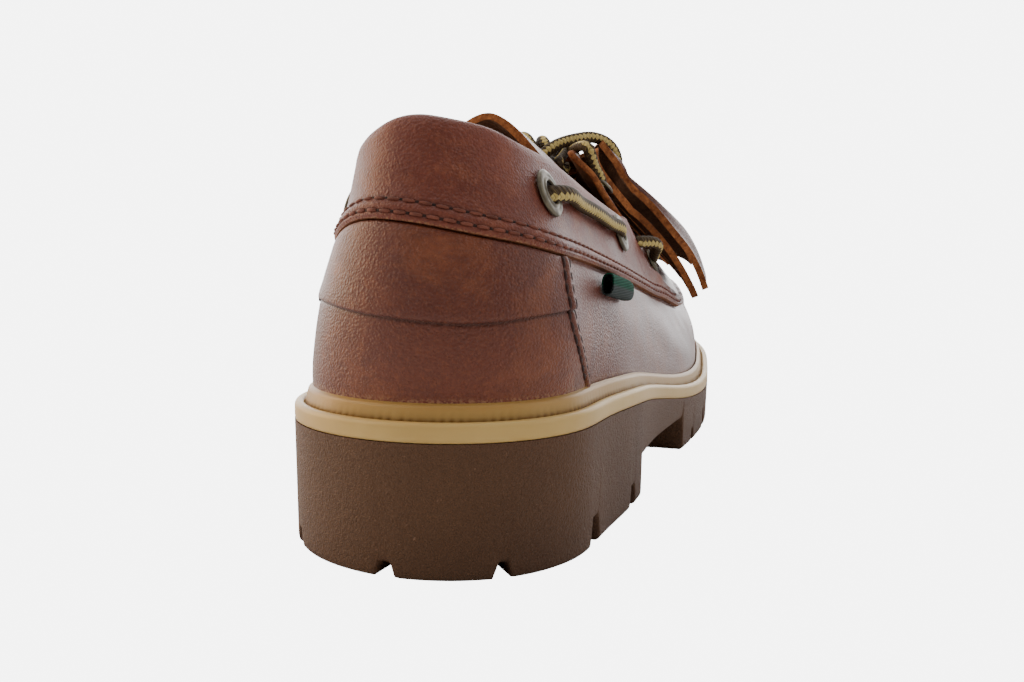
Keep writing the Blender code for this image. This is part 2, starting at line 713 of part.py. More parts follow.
def make_kiltie(name, edge_rows, neck, tips, raise_middle, strips, tone):
    """Fan of fringe over the vamp: a neck, then strips that spread to both sides and forward."""
    edge = open_spline(sorted(edge_rows))
    columns = []
    keep_strip = []
    for strip in range(strips):
        start, end = strip / strips, (strip + 1) / strips
        columns += [(start, 1.0), ((start + end) / 2, 0.0), (end, -1.0)]
        keep_strip += [True, True, False]
    columns = np.array(columns)
    rows = np.array([0.0, 0.14, 0.30, 0.42, 0.62, 0.81, 1.0])
    slit_row = 2
    row, col = np.meshgrid(rows, columns[:, 0], indexing="ij")
    away = np.abs(2 * col - 1)
    slit = np.clip((row - rows[slit_row]) / (1 - rows[slit_row]), 0, 1)
    spread = (0.10 + 0.10 * slit) / strips * (row >= rows[slit_row]) + 0.04 / strips
    shift = spread * columns[None, :, 1]
    shift[:, 0] = 0
    shift[:, -1] = 0
    col = col + shift
    side = 2 * col - 1
    up_edge = edge_rows[0][0] + (edge_rows[-1][0] - edge_rows[0][0]) * row
    up_middle = neck + (tips - neck) * row
    up = up_middle + (up_edge - up_middle) * away**2
    at_edge = edge(up_edge)
    place = 0.5 + side * (0.5 - at_edge[..., 0])
    lift_edge = at_edge[..., 1] * LENGTH
    lift = lift_edge * (raise_middle + (1 - raise_middle) * away**2)
    thick = KILTIE_THICKNESS
    outer = skin(place, up, lift + thick / 2)
    inner = skin(place, up, lift - thick / 2)
    keep = np.ones((len(rows) - 1, len(columns) - 1), bool)
    gaps = np.array(keep_strip[:-1])
    for number in range(slit_row, len(rows) - 1):
        keep[number] = gaps
    return sheet(name, outer, inner, tone, keep)


def frame_at(place, up):
    round_unit, up_unit, outward = directions(np.array(place), np.array(up))
    return round_unit, up_unit, outward


def eyelet_seat(key, inner_side):
    """Where an eyelet's face lies, and the way it looks."""
    spot, up, radius = EYELETS[key]
    place = 1 - spot if inner_side else spot
    lift = {"front": CLEARANCE - BAND_TUCK, "top": 3 * CLEARANCE}.get(key, BAND_THICKNESS - BAND_TUCK + 3 * CLEARANCE)
    return skin(np.array(place), np.array(up), np.array(lift)), frame_at(place, up), radius


def make_eyelet(key, inner_side, material):
    """Flat flanged ring turned about the wall's outward direction."""
    centre, (round_unit, up_unit, outward), radius = eyelet_seat(key, inner_side)
    across = np.cross(outward, round_unit)
    thick = EYELET_THICKNESS
    profile = ((radius, 0.0), (radius - 0.0004, thick * 0.7), (radius - 0.0012, thick),
               (EYELET_HOLE + 0.0005, thick), (EYELET_HOLE, 0.0))
    turns = np.arange(14) / 14 * 2 * math.pi
    rings = []
    for distance, level in profile:
        circle = np.cos(turns)[:, None] * round_unit + np.sin(turns)[:, None] * across
        rings.append(centre + circle * distance + outward * level)
    side = "inner" if inner_side else "outer"
    points, faces = tube_mesh(rings)
    return finish(f"eyelet_{key}_{side}", points, faces, material)


def through(points, spacing):
    """Evenly spaced points on a smooth curve through the route's own points."""
    points = np.array(points)
    chord = np.concatenate([[0], np.cumsum(np.linalg.norm(np.diff(points, axis=0), axis=1))])
    curve = open_spline(np.column_stack([chord, points]))
    dense = curve(np.linspace(0, chord[-1], 400))
    length = np.concatenate([[0], np.cumsum(np.linalg.norm(np.diff(dense, axis=0), axis=1))])
    count = max(int(round(length[-1] / spacing)), 3)
    marks = np.linspace(0, length[-1], count + 1)
    return np.stack([np.interp(marks, length, dense[:, axis]) for axis in range(3)], 1)


def make_cord(name, points, diameter, material, spacing):
    """Round tube along a route, with filled ends."""
    line = bpy.data.curves.new(name, "CURVE")
    line.dimensions = "3D"
    line.bevel_depth = diameter / 2
    line.bevel_resolution = 2
    line.use_fill_caps = True
    route = through(points, spacing)
    spline = line.splines.new("POLY")
    spline.points.add(len(route) - 1)
    for spot, point in zip(spline.points, route):
        spot.co = (*point, 1)
    line.materials.append(material)
    item = bpy.data.objects.new(name, line)
    bpy.context.scene.collection.objects.link(item)
    return item


def from_eyelet(key, inner_side, toward):
    """Lace rising out of an eyelet's hole and over its rim towards a point."""
    centre, (_, _, outward), radius = eyelet_seat(key, inner_side)
    way = np.array(toward) - centre
    way -= outward * (way @ outward)
    way /= np.linalg.norm(way)
    over = EYELET_THICKNESS + CLEARANCE * 3 + LACE / 2
    return [centre + outward * (over - 0.0013), centre + way * 0.0018 + outward * over,
            centre + way * (radius + 0.0006) + outward * over]


def at_side(place, up, lift, inner_side):
    return skin(np.array(1 - place if inner_side else place), np.array(up), np.array(lift))


def side_run(inner_side):
    """Lace from the rear eyelet to the middle one, just off the band between them."""
    rear, middle = EYELETS["rear"], EYELETS["middle"]
    points = []
    for share in (0.22, 0.40, 0.60, 0.78):
        place = rear[0] + (middle[0] - rear[0]) * share
        up = rear[1] + (middle[1] - rear[1]) * share
        points.append(at_side(place, up, BAND_THICKNESS - BAND_TUCK + 2 * CLEARANCE + LACE / 2, inner_side))
    return (from_eyelet("rear", inner_side, points[0]) + points
            + from_eyelet("middle", inner_side, points[-1])[::-1])


def front_run(inner_side):
    """Lace from behind the band's front edge to the front eyelet."""
    points = [at_side(place, up, lift, inner_side)
              for place, up, lift in ((0.2680, 0.860, 0.0030), (0.2780, 0.832, 0.0032))]
    return points + from_eyelet("front", inner_side, points[-1])[::-1]


def tie_run(inner_side):
    """Lace from the top eyelet over the throat's edge towards the knot."""
    crossing = at_side(0.437, 0.99, 0.0050, inner_side)
    return from_eyelet("top", inner_side, crossing) + [crossing, np.array(TIE_INNER if inner_side else TIE_OUTER)]


def make_tab():
    """Flattened ribbon tube under the band's lower edge, open at both ends."""
    spot = TAB_PLACE
    up = float(band_low(spot)) - 0.012
    rings = []
    turns = np.arange(16) / 16 * 2 * math.pi
    for share in (-1.0, -0.33, 0.33, 1.0):
        place = spot + share * TAB_LENGTH / 2 / LOOP_LENGTH
        round_unit, up_unit, outward = frame_at(place, up)
        base = skin(np.array(place), np.array(up), np.array(TAB_LIFT))
        rings.append((base, round_unit, up_unit, outward))
    outer = []
    inner = []
    for base, round_unit, up_unit, outward in rings:
        down = np.array([0, 0, -1.0])
        middle = base + outward * TAB_DEPTH / 2 + down * TAB_DROP / 2
        for store, trim in ((outer, 0.0), (inner, TAB_WALL)):
            wide = TAB_DEPTH / 2 - trim
            tall = TAB_DROP / 2 - trim
            store.append(middle + outward * wide * np.cos(turns)[:, None] + down * tall * np.sin(turns)[:, None])
    points, faces = tube_mesh(outer + inner[::-1])
    return finish("side_tab", points, faces, paint("ribbon green", (0.012, 0.085, 0.045), 0.6))


def make_knot(material):
    """Lumpy wrap of lace, wider than tall."""
    turns = np.arange(12) / 12 * 2 * math.pi
    middle = np.array(KNOT)
    half = np.array(KNOT_HALF)
    rings = []
    for share in (-0.8, -0.4, 0.0, 0.4, 0.8):
        radius = math.sqrt(1 - share * share)
        ring = np.stack([0 * turns + share, radius * np.cos(turns), radius * np.sin(turns)], 1)
        rings.append(middle + ring * half)
    points, faces = tube_mesh(rings, closed_rings=False)
    faces += [tuple(range(12)), tuple(range(48, 60))[::-1]]
    return finish("lace_knot", points, faces, material)


def make_tip(name, route, material):
    """Plain sleeve on the end of a lace."""
    last, before = np.array(route[-1]), np.array(route[-2])
    way = (last - before) / np.linalg.norm(last - before)
    start = last + way * CLEARANCE * 1.5
    points = [start, start + way * TIP_LENGTH / 2, start + way * TIP_LENGTH]
    return make_cord(name, points, TIP_DIAMETER, material, TIP_LENGTH / 2)


for old in list(bpy.data.objects):
    bpy.data.objects.remove(old)

make_outsole()
make_midsole()
make_insole()
make_upper()
make_collar_band()
make_tongue()
kiltie_leather = paint("kiltie leather", (0.185, 0.052, 0.024), 0.42)
make_kiltie("kiltie_upper", KILTIE_UPPER, *UPPER_FAN, KILTIE_STRIPS, kiltie_leather)
make_kiltie("kiltie_lower", KILTIE_LOWER, *LOWER_FAN, KILTIE_STRIPS, kiltie_leather)
brass = paint("antique brass", (0.24, 0.22, 0.17), 0.4, 0.9)
braid = paint("lace braid", (0.20, 0.14, 0.06), 0.8)
for inner_side in (False, True):
    for key in EYELETS:
        make_eyelet(key, inner_side, brass)
    side_name = "inner" if inner_side else "outer"
    make_cord(f"lace_side_{side_name}", side_run(inner_side), LACE, braid, LACE * 1.5)
    make_cord(f"lace_front_{side_name}", front_run(inner_side), LACE, braid, LACE)
    make_cord(f"lace_tie_{side_name}", tie_run(inner_side), LACE, braid, LACE)
make_tab()
make_knot(braid)
make_cord("lace_loop_outer", LOOP_OUTER, LACE, braid, LACE * 2)
make_cord("lace_loop_inner", LOOP_INNER, LACE, braid, LACE * 2)
make_cord("lace_end_outer", END_OUTER, LACE, braid, LACE * 2)
make_cord("lace_end_inner", END_INNER, LACE, braid, LACE * 2)
tip_plastic = paint("lace tip", (0.03, 0.02, 0.015), 0.35)
make_tip("lace_tip_outer", END_OUTER, tip_plastic)
make_tip("lace_tip_inner", END_INNER, tip_plastic)
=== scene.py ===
"""Boat shoe for the right foot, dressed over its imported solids. Metres, +Z up, toe to +Y, outer side +X."""
import math

import bpy
import numpy as np
from mathutils import Euler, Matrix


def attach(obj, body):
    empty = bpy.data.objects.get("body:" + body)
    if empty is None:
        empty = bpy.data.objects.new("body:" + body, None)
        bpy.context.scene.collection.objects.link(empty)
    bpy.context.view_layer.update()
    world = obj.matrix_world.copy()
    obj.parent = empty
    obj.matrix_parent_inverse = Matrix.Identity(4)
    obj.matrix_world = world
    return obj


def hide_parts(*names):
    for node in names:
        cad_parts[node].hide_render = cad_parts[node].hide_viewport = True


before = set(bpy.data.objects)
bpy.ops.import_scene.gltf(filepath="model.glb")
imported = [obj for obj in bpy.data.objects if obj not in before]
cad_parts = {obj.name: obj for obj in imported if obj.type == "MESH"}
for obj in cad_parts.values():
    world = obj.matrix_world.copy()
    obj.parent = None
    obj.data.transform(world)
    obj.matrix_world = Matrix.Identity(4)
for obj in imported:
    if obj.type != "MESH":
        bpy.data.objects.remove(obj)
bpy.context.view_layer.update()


# Camera and studio
# The shoe stands on a pale sweep, seen low from behind its outer side. A broad light and a warm low
# one stand on its left, a strip on its outer side and a soft box above it, in a pale room.

FOCAL_PIXELS = 929.6
IMAGE_WIDTH = 1024
PRINCIPAL_POINT = (483.6, 281.5)
CAMERA_PLACE = (0.08085, -0.3299, 0.0751)
CAMERA_TURN = (86.86, 0.04, 18.0)
camera_data = bpy.data.cameras.new("camera")
camera_data.lens = 36 * FOCAL_PIXELS / IMAGE_WIDTH
camera_data.shift_x = (IMAGE_WIDTH / 2 - PRINCIPAL_POINT[0]) / IMAGE_WIDTH
camera_data.shift_y = (PRINCIPAL_POINT[1] - 341) / IMAGE_WIDTH
camera_data.clip_start = 0.01
camera = bpy.data.objects.new("camera", camera_data)
camera.location = CAMERA_PLACE
camera.rotation_euler = Euler([math.radians(turn) for turn in CAMERA_TURN])
bpy.context.scene.collection.objects.link(camera)
bpy.context.scene.camera = camera


def area_light(name, place, target, width, height, power, colour=(1.0, 1.0, 1.0)):
    """A soft box of that width and height, turned so that it faces the target."""
    data = bpy.data.lights.new(name, "AREA")
    data.shape = "RECTANGLE"
    data.size = width
    data.size_y = height
    data.energy = power
    data.color = colour
    light = bpy.data.objects.new(name, data)
    light.location = place
    away = np.array(target) - np.array(place)
    flat = math.hypot(away[0], away[1])
    light.rotation_euler = (math.atan2(flat, -away[2]), 0.0, math.atan2(-away[0], away[1]))
    bpy.context.scene.collection.objects.link(light)
    return light


area_light("broad light", (-0.85, -0.75, 0.95), (0, 0, 0.05), 0.9, 0.9, 6)
area_light("warm edge light", (-0.95, -0.05, 0.30), (0, -0.05, 0.05), 0.5, 0.9, 9, (1.0, 0.74, 0.48))
area_light("side strip", (1.10, 0.10, 0.60), (0, 0, 0.05), 0.8, 0.9, 4)
area_light("top light", (0.05, 0.05, 1.25), (0, 0, 0.05), 1.1, 1.1, 8)


def settle(tree, node, inputs):
    """Inputs of a node set to values or joined to sockets."""
    for key, value in inputs.items():
        if isinstance(value, bpy.types.NodeSocket):
            tree.links.new(value, node.inputs[key])
        else:
            node.inputs[key].default_value = value


def put(tree, kind, inputs=None, **settings):
    """A shader node with its settings and its inputs."""
    made = tree.nodes.new(kind)
    for key, value in settings.items():
        setattr(made, key, value)
    settle(tree, made, inputs or {})
    return made


ROOM_SEEN = 6.3
ROOM_NEAR = 0.26
ROOM_FAR = 5.2
FLOOR_SHADE = 0.15
AHEAD = (-0.308, 0.948, 0.0)
world = bpy.data.worlds.new("pale room")
bpy.context.scene.world = world
world.use_nodes = True
room = world.node_tree
room.nodes.clear()
sight = put(room, "ShaderNodeTexCoord").outputs["Generated"]
forward = put(room, "ShaderNodeVectorMath", {0: sight, 1: AHEAD}, operation="DOT_PRODUCT").outputs["Value"]
sweep_limits = {"Value": forward, "From Min": 0.42, "From Max": 0.98, "To Min": ROOM_NEAR, "To Max": ROOM_FAR}
sweep_light = put(room, "ShaderNodeMapRange", sweep_limits, interpolation_type="SMOOTHSTEP").outputs["Result"]
height = put(room, "ShaderNodeSeparateXYZ", {"Vector": sight}).outputs["Z"]
floor_limits = {"Value": height, "From Min": -0.45, "From Max": 0.02, "To Min": FLOOR_SHADE, "To Max": 1.0}
from_below = put(room, "ShaderNodeMapRange", floor_limits).outputs["Result"]
shaded = put(room, "ShaderNodeMath", {0: sweep_light, 1: from_below}, operation="MULTIPLY").outputs["Value"]
lit = put(room, "ShaderNodeBackground", {"Color": (1.0, 1.0, 1.01, 1), "Strength": shaded}).outputs[0]
seen = put(room, "ShaderNodeBackground", {"Color": (1.0, 1.0, 1.0, 1), "Strength": ROOM_SEEN}).outputs[0]
by_camera = put(room, "ShaderNodeLightPath").outputs["Is Camera Ray"]
room_mix = put(room, "ShaderNodeMixShader", {0: by_camera, 1: lit, 2: seen}).outputs[0]
put(room, "ShaderNodeOutputWorld", {0: room_mix})

floor_mesh = bpy.data.meshes.new("floor")
floor_mesh.from_pydata([(-1.5, -1.5, 0), (1.5, -1.5, 0), (1.5, 1.5, 0), (-1.5, 1.5, 0)], [], [(0, 1, 2, 3)])
floor = bpy.data.objects.new("floor", floor_mesh)
bpy.context.scene.collection.objects.link(floor)
floor.visible_camera = False


# Shapes and materials shared by every piece start here, with the outsole
# The outsole is one moulded unit of chocolate rubber: a tall heel block, a raised arch and a lugged
# forefoot whose edge is notched all round. Its side has a fine moulded texture.

LENGTH = 0.300
BALL_WIDTH = 0.1045
WELT_HEIGHT = 0.0297
LOOP_LENGTH = 0.73
COLLAR_HEIGHT = 0.1002
COLLAR_HALF = 0.029
HEEL_AXIS = 0.00175
FEATHER_INSET = 0.0050
BEAD_HEIGHT = 0.0081
CLEARANCE = 0.0003

SECTIONS = (
    # along, outer, inner, rim_x, rim_y, rim_z, fall, stand, belly, sweep, slope
    (0.0000, 0.034, -0.034, 0.000, 0.0350, 1.000, 0.000, 0.36, 0.05, 0.30, 78),
    (0.0067, 0.275, 0.212, 0.190, 0.0377, 0.997, 0.006, 0.36, 0.05, 0.30, 78),
    (0.0217, 0.453, 0.393, 0.379, 0.0483, 0.988, 0.016, 0.36, 0.05, 0.30, 77),
    (0.0467, 0.609, 0.551, 0.569, 0.0667, 0.974, 0.030, 0.36, 0.05, 0.30, 76),
    (0.0833, 0.720, 0.664, 0.707, 0.0967, 0.949, 0.034, 0.36, 0.05, 0.30, 74),
    (0.1400, 0.767, 0.702, 0.790, 0.1467, 0.927, 0.036, 0.36, 0.03, 0.30, 74),
    (0.2333, 0.828, 0.684, 0.879, 0.2367, 0.874, 0.030, 0.36, 0.01, 0.30, 73),
    (0.3333, 0.849, 0.656, 0.941, 0.3200, 0.828, 0.020, 0.36, 0.00, 0.30, 71),
    (0.4333, 0.910, 0.675, 0.990, 0.3933, 0.794, 0.010, 0.34, -0.02, 0.30, 68),
    (0.5333, 0.981, 0.770, 0.979, 0.4433, 0.780, 0.000, 0.30, -0.05, 0.32, 58),
    (0.6333, 1.000, 0.904, 0.897, 0.4583, 0.813, 0.000, 0.28, -0.06, 0.36, 45),
    (0.7333, 0.960, 1.000, 0.741, 0.4550, 0.889, 0.000, 0.30, -0.04, 0.40, 37),
    (0.8333, 0.880, 0.967, 0.534, 0.4450, 0.960, 0.000, 0.32, -0.02, 0.43, 31),
    (0.9167, 0.680, 0.775, 0.350, 0.4380, 1.016, 0.000, 0.34, -0.01, 0.45, 28),
    (0.9733, 0.354, 0.440, 0.300, 0.5000, 0.995, 0.000, 0.34, 0.00, 0.44, 26),
    (1.0000, -0.057, 0.057, 0.000, 0.5667, 0.940, 0.000, 0.34, 0.00, 0.42, 26),
)
INNER_FLAT = ((0.0, 0.0), (0.0217, 0.6), (0.0467, 1.0), (0.2333, 1.0), (0.4333, 0.0), (1.0, 0.0))
INNER_BELLY = 0.036
INNER_SLOPE = 10
WELT_LINE = ((0.0, 1.010), (0.30, 0.866), (0.50, 0.565), (0.70, 0.522), (1.0, 0.781))


def open_spline(rows):
    """Natural cubic through rows of (x, value...), held at its ends."""
    table = np.array(rows, float)
    x, y = table[:, 0], table[:, 1:]
    count = len(x)
    step = np.diff(x)
    system = np.eye(count)
    right = np.zeros_like(y)
    for row in range(1, count - 1):
        system[row, row - 1:row + 2] = step[row - 1], 2 * (step[row - 1] + step[row]), step[row]
        right[row] = 6 * ((y[row + 1] - y[row]) / step[row] - (y[row] - y[row - 1]) / step[row - 1])
    bend = np.linalg.solve(system, right)

    def curve(place):
        place = np.clip(np.asarray(place, float), x[0], x[-1])
        cell = np.clip(np.searchsorted(x, place) - 1, 0, count - 2)
        h = step[cell]
        a = ((x[cell + 1] - place) / h)[..., None]
        b = 1 - a
        square = (h ** 2)[..., None] / 6
        curved = (a**3 - a) * bend[cell] + (b**3 - b) * bend[cell + 1]
        return a * y[cell] + b * y[cell + 1] + curved * square

    return curve


def closed_spline(knots, values):
    """Periodic cubic through values at knots, whose last knot closes the loop."""
    count = len(values)
    step = np.diff(knots)
    rise = (np.roll(values, -1, 0) - values) / step[:, None]
    system = np.zeros((count, count))
    for row in range(count):
        before = step[row - 1]
        system[row, row - 1] += before
        system[row, row] += 2 * (before + step[row])
        system[row, (row + 1) % count] += step[row]
    bend = np.linalg.solve(system, 6 * (rise - np.roll(rise, 1, 0)))

    def curve(place):
        place = np.mod(np.asarray(place, float), knots[-1])
        cell = np.clip(np.searchsorted(knots, place, side="right") - 1, 0, count - 1)
        after = (cell + 1) % count
        h = step[cell]
        a = ((knots[cell + 1] - place) / h)[..., None]
        b = 1 - a
        square = (h ** 2)[..., None] / 6
        curved = (a**3 - a) * bend[cell] + (b**3 - b) * bend[after]
        return a * values[cell] + b * values[after] + curved * square

    return curve


def section_loop():
    """The section table run round the shoe: heel, outer side, toe, inner side."""
    table = np.array(SECTIONS)
    half = BALL_WIDTH / 2
    y = LENGTH * (table[:, 0] - 0.5)
    shape = [table[:, 7], table[:, 8] * COLLAR_HEIGHT, table[:, 9], table[:, 10]]
    rim_y = LENGTH * (table[:, 4] - 0.5)
    outer = np.stack([half * table[:, 1], y, HEEL_AXIS + COLLAR_HALF * table[:, 3], rim_y,
                      COLLAR_HEIGHT * table[:, 5], *shape], 1)
    flat = np.interp(table[:, 0], *zip(*INNER_FLAT))
    shape[1] = shape[1] - INNER_BELLY * COLLAR_HEIGHT * flat
    shape[3] = shape[3] + INNER_SLOPE * flat
    inner = np.stack([-half * table[:, 2], y, HEEL_AXIS - COLLAR_HALF * table[:, 3], rim_y,
                      COLLAR_HEIGHT * (table[:, 5] - table[:, 6]), *shape], 1)
    middle = np.stack([(outer[:, 0] - inner[:, 0]) / 2, outer[:, 1]], 1)
    chord = np.linalg.norm(np.diff(middle, axis=0), axis=1)
    side = np.concatenate([[0], np.cumsum(chord)]) / chord.sum() / 2
    return closed_spline(np.concatenate([side, 1 - side[-2::-1]]), np.concatenate([outer, inner[-2:0:-1]]))


section_at = section_loop()
welt_share = open_spline(WELT_LINE)


def welt_line(y):
    """Height of the line between outsole and welt at y."""
    return WELT_HEIGHT * welt_share(y / LENGTH + 0.5)[..., 0]


def outline(place, inset):
    """Plan of the sole at a place round the shoe, moved inwards by inset."""
    place, inset = np.broadcast_arrays(np.asarray(place, float), np.asarray(inset, float))
    step = section_at(place + 1e-4)[..., :2] - section_at(place - 1e-4)[..., :2]
    step /= np.linalg.norm(step, axis=-1, keepdims=True)
    outward = np.stack([step[..., 1], -step[..., 0]], -1)
    return section_at(place)[..., :2] - outward * inset[..., None]


def smooth(value):
    """0 below 0, 1 above 1, and an even S between."""
    value = np.clip(value, 0, 1)
    return value * value * (3 - 2 * value)


def bell(value, width):
    """1 at 0, falling away on both sides over that width."""
    return np.exp(-(value / width) ** 2)


def turn_of(place):
    """Place round the shoe from -0.5 to 0.5: heel 0, outer side positive."""
    return np.mod(np.asarray(place, float) + 0.5, 1.0) - 0.5


def make_object(name, points, faces, materials, which=None, masks=None, uv=None, crisp=35):
    """Object from arrays: points (n, 3), faces (m, 3 or 4), one material index for each face, named
    point masks and face corner coordinates. Edges sharper than crisp degrees stay sharp."""
    mesh = bpy.data.meshes.new(name)
    faces = faces.tolist() if isinstance(faces, np.ndarray) else faces
    mesh.from_pydata(points.reshape(-1, 3), [], faces)
    for material in materials:
        mesh.materials.append(material)
    if which is not None:
        mesh.polygons.foreach_set("material_index", np.asarray(which, np.int32))
    for key, value in (masks or {}).items():
        mesh.attributes.new(key, "FLOAT", "POINT").data.foreach_set("value", np.asarray(value, float).ravel())
    if uv is not None:
        mesh.uv_layers.new(name="along").data.foreach_set("uv", np.asarray(uv, float).ravel())
    mesh.shade_smooth()
    mesh.set_sharp_from_angle(angle=math.radians(crisp))
    mesh.update()
    item = bpy.data.objects.new(name, mesh)
    bpy.context.scene.collection.objects.link(item)
    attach(item, "root")
    return item


def ring_faces(rows, count, closed):
    """Quads between rings of count points; closed joins the last ring to the first."""
    row, col = np.meshgrid(np.arange(rows if closed else rows - 1), np.arange(count), indexing="ij")
    after, side = (row + 1) % rows, (col + 1) % count
    quads = [row * count + col, row * count + side, after * count + side, after * count + col]
    return np.stack(quads, -1).reshape(-1, 4)


def maths(tree, operation, first, second=0.0, third=0.0):
    """One arithmetic step on numbers or sockets."""
    return put(tree, "ShaderNodeMath", {0: first, 1: second, 2: third}, operation=operation).outputs[0]


def ramp(tree, value, low, high):
    """0 where value is below low, 1 above high."""
    limits = {"Value": value, "From Min": low, "From Max": high}
    return put(tree, "ShaderNodeMapRange", limits).outputs["Result"]


def blend_colour(tree, share, first, second):
    """Colour from first to second by share."""
    made = put(tree, "ShaderNodeMix", data_type="RGBA")
    for socket, value in ((made.inputs[0], share), (made.inputs[6], first), (made.inputs[7], second)):
        if isinstance(value, bpy.types.NodeSocket):
            tree.links.new(value, socket)
        else:
            socket.default_value = (*value, 1) if hasattr(value, "__len__") and len(value) == 3 else value
    return made.outputs[2]


def new_material(name):
    """Empty material and its tree, Principled shader and object coordinates."""
    material = bpy.data.materials.new(name)
    material.use_nodes = True
    tree = material.node_tree
    shader = tree.nodes["Principled BSDF"]
    place = put(tree, "ShaderNodeTexCoord").outputs["Object"]
    return material, tree, shader, place


def mask(tree, name):
    """A named mask of the mesh."""
    return put(tree, "ShaderNodeAttribute", attribute_name=name).outputs["Fac"]


def noise(tree, place, scale, detail=4.0, rough=0.55, twist=0.0):
    """Cloudy value between about 0.2 and 0.8."""
    inputs = {"Vector": place, "Scale": scale, "Detail": detail, "Roughness": rough, "Distortion": twist}
    return put(tree, "ShaderNodeTexNoise", inputs).outputs["Fac"]


def bump(tree, height, strength, distance):
    """Surface normal from a height."""
    inputs = {"Height": height, "Strength": strength, "Distance": distance}
    return put(tree, "ShaderNodeBump", inputs).outputs["Normal"]


def shared_effect(name, inputs, output, kind):
    """Node group with a place and numbers going in and one value or normal coming out."""
    group = bpy.data.node_groups.new(name, "ShaderNodeTree")
    for key in inputs:
        socket = "NodeSocketVector" if key == "Place" else "NodeSocketFloat"
        group.interface.new_socket(key, in_out="INPUT", socket_type=socket)
    group.interface.new_socket(output, in_out="OUTPUT", socket_type=kind)
    given = put(group, "NodeGroupInput").outputs
    return group, [given[key] for key in inputs], put(group, "NodeGroupOutput").inputs[0]


PATCH_INPUTS = ("Place", "Scale", "Detail", "Roughness", "Distortion", "Low", "High")
patch_effect, given, result = shared_effect("soft patches", PATCH_INPUTS, "Patches", "NodeSocketFloat")
patch_effect.links.new(ramp(patch_effect, noise(patch_effect, *given[:5]), *given[5:]), result)
BUMP_INPUTS = ("Place", "Scale", "Detail", "Roughness", "Distortion", "Strength", "Distance")
bump_effect, given, result = shared_effect("fine bump", BUMP_INPUTS, "Normal", "NodeSocketVector")
bump_effect.links.new(bump(bump_effect, noise(bump_effect, *given[:5]), *given[5:]), result)


def patches(tree, place, limits, scale, detail=4.0, rough=0.55, twist=0.0):
    """Soft patches from 0 to 1: noise stretched between two limits, by the shared group."""
    inputs = dict(zip(PATCH_INPUTS, (place, scale, detail, rough, twist, *limits)))
    return put(tree, "ShaderNodeGroup", inputs, node_tree=patch_effect).outputs["Patches"]


def fine_bump(tree, place, size, scale, detail=4.0, rough=0.55, twist=0.0):
    """Normal of a fine noise with a strength and a distance, by the shared group."""
    inputs = dict(zip(BUMP_INPUTS, (place, scale, detail, rough, twist, *size)))
    return put(tree, "ShaderNodeGroup", inputs, node_tree=bump_effect).outputs["Normal"]


TOE_SPRING = 0.0100
TOE_SPRING_START = 0.085
HEEL_BREAST = -0.0700
ARCH_END = -0.0100
ARCH_RISE = 0.0110
LUG_REACH = 0.0120
GROOVE_DEPTH = 0.0040
ISLAND_GROOVES = (-0.112, 0.020, 0.045, 0.070, 0.095)
NOTCH_SHIFT = 0.0040
BACK_NOTCHES = (
    (-0.0490, 0.0030, 0.0036),
    (-0.0035, 0.0034, 0.0034),
    (0.0355, 0.0030, 0.0036),
)
NOTCHES = (
    # place, width, height
    (0.0830, 0.0052, 0.0066),
    (0.1310, 0.0042, 0.0056),
    (0.2560, 0.0034, 0.0040),
    (0.2930, 0.0050, 0.0062),
    (0.3280, 0.0045, 0.0060),
    (0.3630, 0.0045, 0.0060),
    (0.3980, 0.0045, 0.0060),
    (0.4330, 0.0045, 0.0060),
    (0.4700, 0.0045, 0.0060),
)


def notch_height(place):
    """Height of the cut between two lugs at a place round the edge: a trapezium with soft corners."""
    notches = list(BACK_NOTCHES)
    for spot, width, height in NOTCHES:
        notches += [(spot, width, height), (1 - spot - NOTCH_SHIFT, width, height)]
    total = np.zeros_like(place)
    for spot, width, height in notches:
        away = np.abs(turn_of(place - spot)) * LOOP_LENGTH
        total = np.maximum(total, height * smooth((width * 0.80 - away) / (width * 0.42)))
    return total


def underside(place, plan, inset):
    """Height of the underside: flat, sprung at the toe, raised at the arch, cut by notches and grooves."""
    y = plan[..., 1]
    height = TOE_SPRING * np.clip((y - TOE_SPRING_START) / (LENGTH / 2 - TOE_SPRING_START), 0, 1) ** 2
    arch = smooth((y - HEEL_BREAST + 0.0008) / 0.0016) * smooth((ARCH_END - y + 0.0008) / 0.0016)
    cut = notch_height(place) * (1 - smooth((inset - LUG_REACH + 0.001) / 0.0015))
    for groove in ISLAND_GROOVES:
        half = smooth((0.0255 - np.abs(plan[..., 0])) / 0.001) * (inset > LUG_REACH)
        cut = np.maximum(cut, GROOVE_DEPTH * half * smooth((0.0024 - np.abs(y - groove)) / 0.0008))
    return height + np.maximum(arch * ARCH_RISE, cut)


def sole_places(spacing):
    """Even places round the shoe with extra ones at the flanks of each notch and of the arch."""
    even = np.arange(0, 1, spacing)
    extra = []
    for spot, width, _ in NOTCHES:
        flank = np.array([-0.86, -0.78, -0.68, -0.58, -0.48, -0.40, -0.30])
        flank = np.concatenate([flank, -flank]) * width / LOOP_LENGTH
        extra += [spot + flank, 1 - spot - NOTCH_SHIFT + flank, spot + NOTCH_SHIFT + flank, 1 - spot + flank]
    fine = np.linspace(0, 0.5, 4001)
    y = section_at(fine)[:, 1]
    for edge in (HEEL_BREAST, ARCH_END):
        spot = np.interp(edge, y, fine) + np.linspace(-0.0018, 0.0018, 9)
        extra += [spot, 1 - spot]
    places = np.mod(np.concatenate([even, *extra]), 1.0)
    places = np.unique(np.round(places, 6))
    places = np.unique(np.round(np.concatenate([places, 1 - places[places > 0]]), 6))
    places = places[np.concatenate([[True], np.diff(places) > 1.5e-4])]
    places = places[places <= 0.5]
    return np.concatenate([places, np.sort(1 - places[(places > 0) & (places < 0.5)])])


